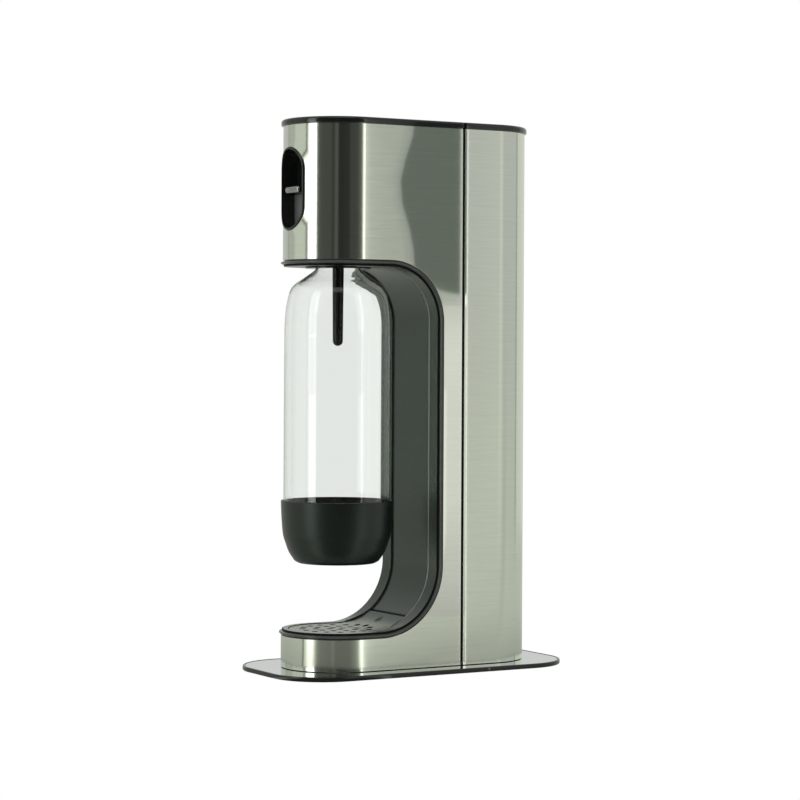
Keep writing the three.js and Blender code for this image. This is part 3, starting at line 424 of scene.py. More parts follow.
def end_outline(way, radius, end_y, steps=60):
    """From side to side round the nose, with way -1, or round the rear, with way 1."""
    return [(radius, end_y)] + arc(0, way * END_CENTRE, radius, 0, way * 180, steps) + [(-radius, end_y)]


# Node helpers
def fill(tree, node, settings):
    """Gives each named input of a node its value, or links it to its socket."""
    for name, value in settings.items():
        if isinstance(value, bpy.types.NodeSocket):
            tree.links.new(value, node.inputs[name])
        else:
            node.inputs[name].default_value = value


def add(tree, kind, settings=None, output=0, **options):
    """Adds a node and gives back one of its outputs, if it has any."""
    node = tree.nodes.new("ShaderNode" + kind)
    for name, value in options.items():
        setattr(node, name, value)
    fill(tree, node, settings or {})
    return node.outputs[output] if node.outputs else None


def math_node(tree, operation, *values):
    return add(tree, "Math", dict(enumerate(values)), operation=operation)


def length_of(tree, vector):
    return add(tree, "VectorMath", {0: vector}, "Value", operation="LENGTH")


def mix_shaders(tree, share, first, second):
    return add(tree, "MixShader", {0: share, 1: first, 2: second})


def object_place(tree):
    return add(tree, "TexCoord", output="Object")


def noise(tree, scale, stretch=(1, 1, 1), detail=3.0):
    stretched = add(tree, "Mapping", {"Vector": object_place(tree), "Scale": stretch})
    return add(tree, "TexNoise", {"Vector": stretched, "Scale": scale, "Detail": detail}, "Fac")


def ramp(tree, source, stops):
    """A ramp with a stop for each pair of position and colour."""
    result = add(tree, "ValToRGB", {"Fac": source})
    elements = result.node.color_ramp.elements
    while len(elements) < len(stops):
        elements.new(0.5)
    for element, (position, color) in zip(elements, stops):
        element.position = position
        element.color = (*color, 1)
    return result


def level_ramp(tree, source, stops, tint):
    return ramp(tree, source, [(position, tuple(level * c for c in tint)) for position, level in stops])


def shades(tree, source, color, change):
    """The colour, darker where the source is low and lighter where it is high."""
    dark = tuple(c * (1 - change) for c in color)
    light = tuple(min(1.0, c * (1 + change)) for c in color)
    return ramp(tree, source, [(0.35, dark), (0.65, light)])


def spread(tree, source, low, high):
    return add(tree, "MapRange", {"Value": source, "To Min": low, "To Max": high})


def bump(tree, source, distance, strength):
    return add(tree, "Bump", {"Height": source, "Distance": distance, "Strength": strength})


def node_material(name):
    material = bpy.data.materials.new(name)
    material.use_nodes = True
    return material, material.node_tree, material.node_tree.nodes["Principled BSDF"]


def bare_material(name):
    material, tree, _ = node_material(name)
    tree.nodes.clear()
    return material, tree


# Materials
def plastic(name, color, roughness, grain, depth, change=0.05, specular=0.5, tint=(1.0, 1.0, 1.0)):
    """Moulded plastic: a fine grain in the bump, slow drifts in colour and gloss."""
    material, tree, shader = node_material(name)
    fill(tree, shader, {
        "Base Color": shades(tree, noise(tree, 14.0, detail=4.0), color, change),
        "Roughness": spread(tree, noise(tree, 60.0), roughness * 0.9, roughness * 1.12),
        "Normal": bump(tree, noise(tree, grain, detail=2.0), depth, 0.6),
        "Specular IOR Level": specular,
        "Specular Tint": (*tint, 1),
    })
    return material


def metal(name, color, roughness, stretch, grain, depth, change, around=0.0):
    """Metal whose grain is stretched along its brushing, and which may shine round the upright axis."""
    material, tree, shader = node_material(name)
    streaks = noise(tree, grain, stretch, detail=2.0)
    fill(tree, shader, {
        "Metallic": 1.0,
        "Base Color": shades(tree, streaks, color, change),
        "Roughness": spread(tree, streaks, roughness * 0.85, roughness * 1.2),
        "Normal": bump(tree, streaks, depth, 0.4),
    })
    if around:
        tangent = add(tree, "Tangent", direction_type="RADIAL", axis="Z")
        fill(tree, shader, {"Anisotropic": around, "Anisotropic Rotation": 0.25, "Tangent": tangent})
    return material


def clear_plastic(name):
    """Clear plastic with a slight wave, which lets light from the lamps straight through."""
    material, tree, shader = node_material(name)
    fill(tree, shader, {
        "Base Color": (0.93, 0.948, 0.93, 1),
        "Transmission Weight": 1.0,
        "IOR": 1.45,
        "Roughness": spread(tree, noise(tree, 40.0), 0.0, 0.03),
        "Normal": bump(tree, noise(tree, 22.0, (1, 1, 0.25), detail=1.0), 0.0002, 0.25),
    })
    see_through = add(tree, "BsdfTransparent", {"Color": (0.93, 0.95, 0.94, 1)})
    shadow = add(tree, "LightPath", output="Is Shadow Ray")
    mixed = mix_shaders(tree, shadow, shader.outputs["BSDF"], see_through)
    fill(tree, tree.nodes["Material Output"], {"Surface": mixed})
    return material


# Metals: colour, roughness, the grain's stretch, scale and depth in metres, and its change of colour
PLAIN = (1, 1, 1)
STEEL = metal("brushed_steel", (0.64, 0.67, 0.60), 0.15, (3, 3, 300), 12.0, 0.0000025, 0.03, around=0.6)
MIRROR = metal("mirror_steel", (0.80, 0.83, 0.79), 0.035, PLAIN, 30.0, 0.0000005, 0.02)
CHROME = metal("satin_chrome", (0.74, 0.76, 0.73), 0.14, PLAIN, 300.0, 0.000002, 0.02)
TAB = metal("tab_metal", (0.30, 0.31, 0.295), 0.22, PLAIN, 300.0, 0.000004, 0.04)
BRASS = metal("brass", (0.66, 0.50, 0.24), 0.26, (1, 1, 30), 60.0, 0.000004, 0.06)
ZINC = metal("zinc", (0.58, 0.59, 0.57), 0.32, PLAIN, 240.0, 0.000006, 0.08)
CYLINDER = metal("cylinder_metal", (0.50, 0.52, 0.51), 0.3, (1, 1, 40), 30.0, 0.000005, 0.05)

# Plastics: colour, roughness, the grain's scale and depth in metres
BAY_TINT, CUP_TINT = (0.84, 1.0, 0.87), (0.88, 1.0, 0.92)
GLOSS = plastic("black_gloss", (0.008, 0.0095, 0.008), 0.14, 700.0, 0.000003, change=0.08)
BAY = plastic("bay_grey", (0.024, 0.034, 0.026), 0.26, 1100.0, 0.000004, tint=BAY_TINT)
# Painted shade: a near black for walls and gaps where shade falls, the bay's step, the seam and the tray's
# holes
SHADE_BLACK = plastic("painted_shade_black", (0.003, 0.0036, 0.003), 0.5, 900.0, 0.000003, specular=0.12)
# Painted highlight: a grey lighter than the bay's plastic, for the bead's crest
BEAD_HIGHLIGHT = plastic("bead_painted_highlight", (0.05, 0.056, 0.05), 0.22, 900.0, 0.000003)
# Painted highlight: a light grey for the strips along the panel's edges
EDGE_HIGHLIGHT = plastic("edge_highlight_grey", (0.2, 0.222, 0.2), 0.35, 900.0, 0.000005)
# Painted light: a grey lighter than the bay's plastic, for the lever's apron in its shaded recess
PAINTED_LIGHT_APRON = plastic("apron_painted_light", (0.085, 0.1, 0.092), 0.45, 900.0, 0.00001)
CUP = plastic("cup_black", (0.0055, 0.0088, 0.0066), 0.36, 1300.0, 0.00002, specular=0.42, tint=CUP_TINT)
TUBE = plastic("tube_black", (0.004, 0.0045, 0.004), 0.1, 700.0, 0.000003, specular=0.32)
RUBBER = plastic("rubber", (0.012, 0.012, 0.012), 0.75, 500.0, 0.00003, specular=0.25)
INNER = plastic("inner_plastic", (0.035, 0.038, 0.036), 0.5, 800.0, 0.00002)
CLEAR = clear_plastic("clear_plastic")

SLOT_MATERIALS = {
    "brushed_steel": STEEL, "mirror_steel": MIRROR, "black_plastic": GLOSS, "bay_plastic": BAY,
    "cup_plastic": CUP, "rubber": RUBBER, "clear_plastic": CLEAR, "inner_plastic": INNER,
    "bright_metal": CHROME, "brass": BRASS, "plated_steel": ZINC, "cylinder_metal": CYLINDER,
}
for row in frame["record"]["subparts"]:
    paint(nodes[row["node"]], SLOT_MATERIALS[row["material_slot"]])


# The bay's edge: where a point lies that is moved by inset into the bay
def floor_z(y, inset=0.0):
    radius = LOWER_RADIUS - inset
    return LOWER_CENTRE[1] - side_of(radius, min(max(0.0, y - LOWER_CENTRE[0]), radius))


def ceiling_z(y, inset=0.0):
    radius = UPPER_RADIUS - inset
    return UPPER_CENTRE[1] + side_of(radius, min(max(0.0, y - UPPER_CENTRE[0]), radius))


def on_floor(points, depth):
    return [(x, y, floor_z(y, depth)) for x, y in points]


def level_station(y, z, way):
    return lambda inset: (y, z + way * inset)


def back_station(z):
    return lambda inset: (BAY_BACK - inset, z)


def round_station(centre, radius, turn, drop=0.0):
    """A place on a round of the bay, turned from the back up to the head, or down to the foot."""
    def place(inset):
        reach = radius - inset + drop
        return centre[0] + reach * cosine(turn), centre[1] + reach * sine(turn)
    return place


def side_stations():
    """From the foot, up the back of the bay, to the head: (y, z) as a function of the inset."""
    foot_ys = np.linspace(-END_CENTRE, LOWER_CENTRE[0], 7)
    head_ys = np.linspace(UPPER_CENTRE[0], -END_CENTRE, 8)[1:]
    stations = [level_station(y, FOOT_TOP, 1) for y in foot_ys]
    stations += [round_station(LOWER_CENTRE, LOWER_RADIUS, 3 * i - 90) for i in range(1, 31)]
    stations += [back_station(z) for z in np.linspace(LOWER_CENTRE[1], UPPER_CENTRE[1], 13)[1:-1]]
    stations += [round_station(UPPER_CENTRE, UPPER_RADIUS, 3 * i) for i in range(31)]
    return stations + [level_station(y, HEAD_BOTTOM, -1) for y in head_ys]


# Steel skins
def skin_columns(hole):
    """The front sheet's columns seen from above, from seam to seam round the nose."""
    flat_ys = [SEAM_Y, (SEAM_Y + BAY_BACK) / 2]
    flat_ys += [BAY_BACK - LOWER_RADIUS * (1 - cosine(a)) for a in np.linspace(0, 90, 31)]
    flat_ys += list(np.linspace(LOWER_CENTRE[0], -END_CENTRE, 5)[1:-1])
    half = list(np.linspace(90, math.degrees(math.asin(hole / BODY_RADIUS)), 25))
    half += [math.degrees(math.asin(hole * cosine(t) / BODY_RADIUS)) for t in np.linspace(0, 90, 15)[1:]]
    turns = half + [-a for a in reversed(half[:-1])]
    nose = [(BODY_RADIUS * sine(a), -END_CENTRE - BODY_RADIUS * cosine(a)) for a in turns]
    return [(BODY_RADIUS, y) for y in flat_ys] + nose + [(-BODY_RADIUS, y) for y in reversed(flat_ys)]


def add_sheet(shape, columns, hole):
    """The sheet between its bottom, the bay's edges, the recess's edges and its top."""
    count = sum(SKIN_ROWS) + 1
    first = [sum(SKIN_ROWS[:s]) for s in range(len(SKIN_ROWS) + 1)]
    vertices, behind_bay, beside_recess = [], [], []
    for x, y in columns:
        reach = side_of(hole, x) if y < -END_CENTRE else 0.0
        levels = [
            BODY_BOTTOM, floor_z(min(y, BAY_BACK)), ceiling_z(min(y, BAY_BACK)),
            RECESS_Z - RECESS_RISE - reach, RECESS_Z + RECESS_RISE + reach, BODY_TOP,
        ]
        for s, rows in enumerate(SKIN_ROWS):
            vertices += [(x, y, levels[s] + (levels[s + 1] - levels[s]) * i / rows) for i in range(rows)]
        vertices.append((x, y, BODY_TOP))
        behind_bay.append(y >= BAY_BACK - NEARLY)
        beside_recess.append(y > -END_CENTRE or abs(x) >= hole - NEARLY)
    faces = []
    for c in range(len(columns) - 1):
        for r in range(count - 1):
            in_bay = first[1] <= r < first[2] and not all(behind_bay[c:c + 2])
            in_recess = first[3] <= r < first[4] and not all(beside_recess[c:c + 2])
            if not in_bay and not in_recess:
                a, b = c * count + r, (c + 1) * count + r
                faces.append((a, b, b + 1, a + 1))
    shape.add(vertices, faces)


def add_recess_lip(shape, columns, hole):
    """The sheet's swelling round the recess."""
    count = SKIN_ROWS[3]
    xs = [x for x, y in columns if y < -END_CENTRE and abs(x) <= hole + NEARLY]
    zs = [RECESS_Z + RECESS_RISE * (2 * i / count - 1) for i in range(1, count)]
    arch = [(x / hole, side_of(1.0, x / hole)) for x in xs]
    around = [(RECESS_Z + RECESS_RISE, dx, dz) for dx, dz in arch]
    around += [(z, -1.0, 0.0) for z in reversed(zs)]
    around += [(RECESS_Z - RECESS_RISE, dx, -dz) for dx, dz in reversed(arch)]
    around += [(z, 1.0, 0.0) for z in zs]
    rings = []
    for edge in np.linspace(LIP_REACH, 0.0, 13):
        radius = RECESS_RADIUS + GAP + edge
        column = BODY_RADIUS + LIP_RISE * (1 - edge / LIP_REACH) ** 2
        rings.append(on_nose([(dx * radius, z + dz * radius) for z, dx, dz in around], column))
    shape.loft(rings)


def front_skin():
    hole = RECESS_RADIUS + GAP + LIP_REACH
    columns = skin_columns(hole)
    shape = Shape()
    add_sheet(shape, columns, hole)
    add_recess_lip(shape, columns, hole)
    modifiers = [solidify(SHEET), bevel(SKIN_EDGE)]
    new_piece("front_shell", shape, "housing", "brushed_steel", ["front_skin"], modifiers=modifiers)


def rear_skin():
    inner = BODY_RADIUS - SHEET
    edge = [(BODY_RADIUS - drop, COVER_Y + along) for along, drop in COVER_ROLL]
    outline = edge + end_outline(1, BODY_RADIUS, COVER_Y + COVER_ROLL_ROOM, 72)
    outline += [(-x, y) for x, y in reversed(edge)] + end_outline(1, inner, COVER_Y, 72)[::-1]
    shape = Shape().prism(outline, BODY_BOTTOM, BODY_TOP)
    xs = (inner - COVER_LIP, inner + COVER_LIP_OVERLAP)
    ys = (COVER_Y + COVER_LIP_BACK, COVER_Y + SHEET)
    shape.boxes(xs, ys, BODY_BOTTOM + COVER_LIP_LIFT, BODY_TOP - COVER_LIP_DROP)
    modifiers = [bevel(SKIN_EDGE)]
    new_piece("rear_shell", shape, "rear_cover", "brushed_steel", ["rear_skin"], modifiers=modifiers)


# Caps
def cap(name, way, end_y, skirt_y, node_name, body):
    profile = [(CAP_RADIUS - inset, CAP_BOTTOM + rise) for inset, rise in CAP_EDGE]
    profile += arc(CAP_RADIUS - CAP_ROUND, CAP_TOP - CAP_ROUND, CAP_ROUND, 0, 90, 8)
    profile.append((CAP_RADIUS - CAP_BORDER, CAP_TOP))
    rings = [[(x, y, z) for x, y in end_outline(way, r, end_y)] for r, z in profile]
    shape = Shape().loft(rings, closed=False, capped=True)
    count = len(rings[0])
    starts = [r * count for r in range(len(rings))]
    shape.faces.append(tuple(starts + [start + count - 1 for start in reversed(starts)]))
    skirt, inside = (end_outline(way, INNER_RADIUS - inset, skirt_y) for inset in (0.0, SKIRT_WALL))
    shape.prism(skirt + inside[::-1], BODY_TOP - SKIRT_DEPTH, CAP_BOTTOM + GAP)
    new_piece(name, shape, body, "black_plastic", [node_name], sharp=30)


def caps():
    cap("crown_front", -1, SEAM_Y, FRONT_SKIRT_Y, "top_cap", "housing")
    cap("crown_rear", 1, COVER_Y, REAR_SKIRT_Y, "rear_cap", "rear_cover")


# Base
def base_pan():
    half_x, half_y = PLATE_HALF
    profile = [(inset, PAN_BOTTOM + rise) for inset, rise in PAN_EDGE]
    profile += arc(PAN_ROUND, PAN_TOP - PAN_ROUND, PAN_ROUND, 180, 90, 6)
    cut = PAN_RIM_CUT
    profile += [(PAN_RIM - cut, PAN_TOP), (PAN_RIM, PAN_TOP - cut), (PAN_RIM, PLATE_BOTTOM - cut)]
    rings = []
    for inset, z in profile:
        outline = rounded_rectangle(half_x - inset, half_y - inset, PLATE_CORNER - inset)
        rings.append([(x, y, z) for x, y in outline])
    shape = Shape().loft(rings, capped=True)
    pan = new_piece("base_rim", shape, "housing", "black_plastic", ["base_pan"])
    rooms = Shape()
    for sx in (1, -1):
        for sy in (1, -1):
            for x, y, radius, top, sides in PAN_ROOMS:
                rooms.prism(circle(sx * x, sy * y, radius, sides), BELOW, top)
    carve(pan, rooms)


def base_plate():
    inset = PAN_RIM + GAP
    outline = rounded_rectangle(PLATE_HALF[0] - inset, PLATE_HALF[1] - inset, PLATE_CORNER - inset, 32)
    shape = Shape().prism(outline, PLATE_BOTTOM, PLATE_TOP)
    modifiers = [bevel(PLATE_EDGE)]
    new_piece("mirror_plate", shape, "housing", "mirror_steel", ["base_plate"], modifiers=modifiers)


# The bay's liner: a rim swept round the whole opening, a bed for panel and tray, and the tray's well
def bead_profile():
    """Depth inside the body's side and inset from the steel's edge, across the bead."""
    rise, half = BEAD_SEAT + BEAD_PROUD, BEAD_HALF
    climb = range(10, 91, 10)
    points = [(BEAD_SEAT - rise * sine(a), BEAD_CREST - half * cosine(a)) for a in climb]
    fall = range(8, 89, 8)
    points += [(BEAD_FALL * (1 - cosine(a)) - BEAD_PROUD, BEAD_CREST + half * sine(a)) for a in fall]
    return BEAD_STARTS + points + BEAD_ENDS


def tail_corner(room, end_y):
    """The tail's corner and the place where its side leaves the round part, both from the tray's centre."""
    corner = (PANEL_HALF + room, end_y + END_CENTRE)
    radius = TRAY_RADIUS + room
    turn = math.atan2(corner[1], corner[0]) - math.acos(radius / math.hypot(*corner))
    return corner, (radius * math.cos(turn), radius * math.sin(turn)), turn


def tail_half(y, room, end_y):
    """Half width of the tail's straight sides."""
    corner, side, _ = tail_corner(room, end_y)
    share = (y + END_CENTRE - side[1]) / (corner[1] - side[1])
    return side[0] + (corner[0] - side[0]) * share


def inner_edge(y, low):
    """Half width at which the liner's face ends, at the tray's well, at its tail or at the panel."""
    if not low or y >= TRAY_END:
        return PANEL_HALF + GAP
    if y < -END_CENTRE:
        return WELL_RADIUS
    if y + END_CENTRE > tail_corner(GAP, TRAY_END)[1][1]:
        return tail_half(y, GAP, TRAY_END)
    return side_of(WELL_RADIUS, y + END_CENTRE)


def strip_ring(profile):
    return lambda place, *_: [(BODY_RADIUS - depth, *place(inset)) for depth, inset in profile]


def face_ring(place, edge_half, down):
    """The liner's face and its inner edge: place(inset) gives y and z."""
    ring = [(BODY_RADIUS - depth, *place(inset)) for depth, inset in FACE_PROFILE]
    ring += [(edge_half + away, *place(BEAD - drop)) for away, drop in EDGE_ROUND]
    return ring + [(edge_half, *place(down))]


def turned(ring, turn):
    """A ring that is turned round the nose's axis."""
    return [(r * sine(turn), -END_CENTRE - r * cosine(turn), z) for r, _, z in ring]


def rim_rings(ring_at, stations):
    """The rings of a strip that runs once round the opening."""
    foot = ring_at(level_station(0, FOOT_TOP, 1), WELL_RADIUS, PANEL_BED)
    head = ring_at(level_station(0, HEAD_BOTTOM, -1), PANEL_HALF + GAP, HEAD_EDGE_DROP)
    side = [ring_at(s, inner_edge(s(BEAD)[0], i < FACE_SPOTS), PANEL_BED) for i, s in enumerate(stations)]
    turns = [180 * i / TURN_STEPS - 90 for i in range(TURN_STEPS + 1)]
    rings = [turned(foot, turn) for turn in turns] + side[1:]
    rings += [turned(head, -turn) for turn in turns[1:]]
    return rings + [[(-x, y, z) for x, y, z in ring] for ring in reversed(side[1:-1])]


def bay_bead():
    # The bead in a grey lighter than the bay's plastic, a painted highlight; the step behind it in black,
    # painted shade on its wall
    for name, profile, material in (("bay_bead", bead_profile(), BEAD_HIGHLIGHT), ("bay_step", STEP_PROFILE, SHADE_BLACK)):
        shape = Shape().loft(rim_rings(strip_ring(profile), side_stations()), closed=False, around=True)
        new_piece(name, shape, "housing", "bay_plastic", material=material, sharp=60)


def add_bed(shape, stations):
    """The surface behind the panel and under the tray's tail."""
    limit = PANEL_HALF + GAP
    end = PANEL_TOP_END - GAP
    xs = [limit * sine(a) for a in np.linspace(-90, 90, 25)]
    side = tail_corner(GAP, TRAY_END)[1]
    rows = []
    for share in np.linspace(0, 1, 13)[:-1]:
        row = []
        for x in xs:
            start_x = x / limit * side[0]
            start_y = side_of(WELL_RADIUS, start_x) - END_CENTRE
            y = start_y + (TRAY_END - start_y) * share
            row.append((start_x + (x - start_x) * share, y, floor_z(y, PANEL_BED)))
        rows.append(row)
    for y, z in (station(PANEL_BED) for station in stations):
        if y >= (TRAY_END if z < MIDDLE_Z else end):
            rows.append([(x, y, z) for x in xs])
    rows += [[(x, end, ceiling_z(end, inset)) for x in xs] for inset in (PANEL_BED, BEAD)]
    shape.loft(rows, closed=False)


def add_well(shape):
    sides = 144
    tail_y = tail_corner(GAP, TRAY_END)[1][1]
    top, foot, middle = [], [], []
    for x, y in circle(0.0, 0.0, WELL_RADIUS, sides):
        inset = PANEL_BED if y > tail_y else WELL_INSET
        top.append((x, y - END_CENTRE, floor_z(y - END_CENTRE, inset)))
        foot.append((x, y - END_CENTRE, WELL_FLOOR))
        middle.append((x / 2, y / 2 - END_CENTRE, WELL_FLOOR))
    shape.loft([top, foot, middle], cap_last=True)


def add_ceiling(shape):
    """The face under the head, with the socket's round hole."""
    limit = PANEL_HALF + GAP
    end = PANEL_TOP_END - GAP + END_CENTRE
    corner = math.degrees(math.atan2(end, limit))
    rings = [[], [], []]
    for turn in sorted({*np.linspace(-180, 180, 97)[:-1], corner, 180 - corner}):
        c, s = cosine(turn), sine(turn)
        reach = min(limit / max(abs(c), NEARLY), end / s) if s > 0 else limit
        rim = ((SOCKET_ROOM, SOCKET_ROOM_RISE), (SOCKET_ROOM, 0.0), (reach, 0.0))
        for ring, (radius, rise) in zip(rings, rim):
            y = radius * s - END_CENTRE
            ring.append((radius * c, y, ceiling_z(y, BEAD) + rise))
    shape.loft(rings)


def bay_liner():
    stations = side_stations()
    shape = Shape().loft(rim_rings(face_ring, stations), closed=False, around=True)
    add_bed(shape, stations)
    add_well(shape)
    add_ceiling(shape)
    new_piece("bay_surround", shape, "housing", "bay_plastic", ["bay_liner"], sharp=28)


def panel_edge_highlight():
    """A painted highlight along both long edges of the panel and the tray's tail: a thin strip in a light
    grey.
    """
    shape = Shape()
    for side in (1, -1):
        rings = []
        for i, station in enumerate(side_stations()):
            y = station(BEAD)[0]
            if y >= TRAY_END - EDGE_HIGHLIGHT_REACH or i >= FACE_SPOTS:
                edge = inner_edge(y, i < FACE_SPOTS)
                rings.append([(side * (edge + away), *station(BEAD + rise)) for away, rise in EDGE_HIGHLIGHT_PROFILE])
        shape.loft(rings, capped=True)
    new_piece("panel_edge_highlight", shape, "housing", "bay_plastic", material=EDGE_HIGHLIGHT, sharp=25)


def seam_shade():
    """Painted shade: a dark strip in the seam between the front and the rear sheet."""
    xs = (INNER_RADIUS - SEAM_SHADE_IN, BODY_RADIUS - SHEET - SEAM_SHADE_OUT)
    ys = (SEAM_Y + SEAM_SHADE_SEAT, COVER_Y - GAP)
    shape = Shape().boxes(xs, ys, BODY_BOTTOM + COVER_LIP_LIFT, BODY_TOP - SEAM_SHADE_DROP)
    new_piece("seam_shade", shape, "housing", "black_plastic", material=SHADE_BLACK, sharp=30)


def bay_panel():
    """The inset strip from the tray's tail up the back to the socket."""
    half = PANEL_HALF
    edge = [(inset - half, drop) for inset, drop in PANEL_EDGE]
    middle = [(x, 0.0) for x in np.linspace(PANEL_BORDER - half, half - PANEL_BORDER, 9)]
    across = edge + middle + [(-x, drop) for x, drop in reversed(edge)]
    lower, upper = (LOWER_CENTRE, LOWER_RADIUS), (UPPER_CENTRE, UPPER_RADIUS)
    ends = ((PANEL_START, *lower), (PANEL_START + PANEL_ROUND, *lower), (PANEL_TOP_END, *upper))
    start, low, end = (
        math.degrees(math.acos((y - centre[0]) / (radius - PANEL_FACE))) for y, centre, radius in ends
    )
    places = [round_station(*lower, -start, PANEL_END_DROP)]
    places += [round_station(*lower, turn) for turn in np.linspace(-low, 0, 30)]
    places += [back_station(z) for z in np.linspace(LOWER_CENTRE[1], UPPER_CENTRE[1], 14)[1:-1]]
    places += [round_station(*upper, turn) for turn in np.linspace(0, end - PANEL_END_TURN, 30)]
    places.append(round_station(*upper, end, PANEL_END_DROP))
    rings = []
    for place in places:
        front = [(x, *place(PANEL_FACE + drop)) for x, drop in across]
        rings.append(front + [(x, *place(PANEL_FACE - PANEL_THICKNESS)) for x in (half, -half)])
    shape = Shape().loft(rings, capped=True)
    new_piece("bay_inlay", shape, "housing", "bay_plastic", ["bay_panel"], sharp=40)


# Drip tray
def tray_holes():
    holes = []
    for radius in HOLE_RINGS:
        holes += circle(0, -END_CENTRE, radius, round(2 * math.pi * radius / HOLE_PITCH))
    return holes


def hole_ring(x, y, radius, depth):
    return on_floor(circle(x, y, radius, HOLE_SIDES), depth)


def mark_drop(x, y):
    """Depth of the finger mark at a place of the tray's face."""
    lean = math.asin((MARK_Y - LOWER_CENTRE[0]) / (LOWER_RADIUS - BEAD))
    away = math.hypot(x, (y - MARK_Y) / math.cos(lean))
    return max(0.0, side_of(MARK_BALL, away) - MARK_BALL + MARK_DEPTH)


def tray_outline(shrink):
    """The tray from above, its edge moved inwards."""
    end_y = TRAY_END - GAP - shrink
    corner, side, turn = tail_corner(-shrink, end_y)
    start = math.degrees(turn)
    points = arc(0, -END_CENTRE, TRAY_RADIUS - shrink, 180 - start, 360 + start, 96)
    xs = np.linspace(side[0], corner[0], 16)[1:]
    ys = np.linspace(side[1] - END_CENTRE, corner[1] - END_CENTRE, 16)[1:]
    back = [(x, end_y) for x in np.linspace(corner[0], -corner[0], 20)[1:-1]]
    return points + list(zip(xs, ys)) + back + list(zip(-xs[::-1], ys[::-1]))


def tray_face(outline, radius, depth, marked):
    """A face of the tray with its holes, and with the finger mark where it is marked."""
    holes = tray_holes()
    end_y = TRAY_END - GAP
    points = list(outline)
    edges = [(i, (i + 1) % len(outline)) for i in range(len(outline))]
    for x, y in holes:
        base = len(points)
        points += circle(x, y, radius, HOLE_SIDES)
        edges += [(base + i, base + (i + 1) % HOLE_SIDES) for i in range(HOLE_SIDES)]
    for y in np.arange(TAIL_ROWS_Y, end_y - TAIL_BORDER, TAIL_ROW):
        width = tail_half(y, 0.0, end_y) - TAIL_BORDER
        row = [(x, y) for x in np.linspace(-width, width, 15)]
        points += [(x, y) for x, y in row if not marked or math.hypot(x, y - MARK_Y) > MARK_CLEAR]
    if marked:
        points.append((0.0, MARK_Y))
        for ring in MARK_RADII:
            points += [(x, MARK_Y + y * MARK_FLAT_SHARE) for x, y in circle(0, 0, ring, HOLE_SIDES)]
    flat, _, triangles, *_ = delaunay_2d_cdt([Vector(p) for p in points], edges, [], 1, 1e-5, True)
    kept = []
    for tri in triangles:
        cx, cy = (sum(flat[i][axis] for i in tri) / len(tri) for axis in (0, 1))
        if all(math.hypot(cx - x, cy - y) > radius * INSIDE_HOLE_SHARE for x, y in holes):
            kept.append(tuple(tri))
    return [(x, y, floor_z(y, depth) - (mark_drop(x, y) if marked else 0.0)) for x, y in flat], kept


def tray_grille():
    shape = Shape()
    shape.add(*tray_face(tray_outline(TRAY_CHAMFER), HOLE_RADIUS + HOLE_EDGE, TRAY_FACE, True))
    shape.add(*tray_face(tray_outline(0.0), HOLE_RADIUS, TRAY_BACK, False))
    levels = [(TRAY_CHAMFER, TRAY_FACE), (0.0, TRAY_FACE - TRAY_CHAMFER), (0.0, TRAY_BACK)]
    shape.loft([on_floor(tray_outline(shrink), depth) for shrink, depth in levels])
    wall = [(HOLE_EDGE, TRAY_FACE), (0.0, TRAY_FACE - HOLE_EDGE), (0.0, TRAY_BACK)]
    for x, y in tray_holes():
        shape.loft([hole_ring(x, y, HOLE_RADIUS + edge, depth) for edge, depth in wall])
    new_piece("tray_cover", shape, "drip_tray", "bay_plastic", ["tray_grille"], sharp=30)


def tray_hole_shade():
    """Painted shade in the tray's holes: black sleeves down their walls."""
    shape = Shape()
    for x, y in tray_holes():
        rings = [hole_ring(x, y, HOLE_RADIUS - inset, depth) for inset, depth in HOLE_SHADE_SLEEVE]
        shape.loft(rings, around=True)
    new_piece("tray_hole_shade", shape, "drip_tray", "bay_plastic", material=SHADE_BLACK, sharp=30)


def tray_pan():
    top = TRAY_TOP - TRAY_PLATE - GAP - TRAY_BOTTOM
    outer, inner = DISH_RADIUS, DISH_RADIUS - DISH_WALL
    profile = [(0.0, 0.0)] + [(outer - inset, z) for inset, z in DISH_OUTSIDE] + [(outer, top), (inner, top)]
    profile += [(inner - inset, z) for inset, z in DISH_INSIDE] + [(0.0, DISH_WALL)]
    shape = Shape().revolve(lifted(profile, TRAY_BOTTOM), sides=96)
    new_piece("tray_dish", shape, "drip_tray", "inner_plastic", ["tray_pan"], sharp=40)


# Bottle
def vessel_wall(z):
    return VESSEL_WALL + (NECK_WALL - VESSEL_WALL) * min(1.0, max(0.0, (z - NECK_Z) / NECK_BLEND))


def bottle_vessel():
    radius, neck = VESSEL_RADIUS, NECK_RADIUS
    foot = [(AXIS, VESSEL_DIMPLE)] + [(radius * r, z) for r, z in VESSEL_FOOT_SHARES]
    straight = [(radius, z) for z in np.linspace(STRAIGHT_LOW, STRAIGHT_HIGH, 8)]
    shoulder = [(neck + r * (radius - neck), SHOULDER_HEIGHT * z) for z, r in SHOULDER_SHARES]
    shoulder = [(radius, SHOULDER_START)] + shoulder + [(neck, SHOULDER_END)]
    rim = [(neck, MOUTH_Z - MOUTH_RIM), (neck, MOUTH_Z - MOUTH_ROUND), (neck - MOUTH_CUT, MOUTH_Z)]
    side = smooth_profile(lifted(foot, VESSEL_BOTTOM)) + straight
    side += smooth_profile(lifted(shoulder, SHOULDER_Z)) + rim
    shape = Shape().revolve(side + list(reversed(offset_profile(side, vessel_wall))), sides=160)
    new_piece("bottle_shell", shape, "bottle", "clear_plastic", ["bottle_vessel"], sharp=60)


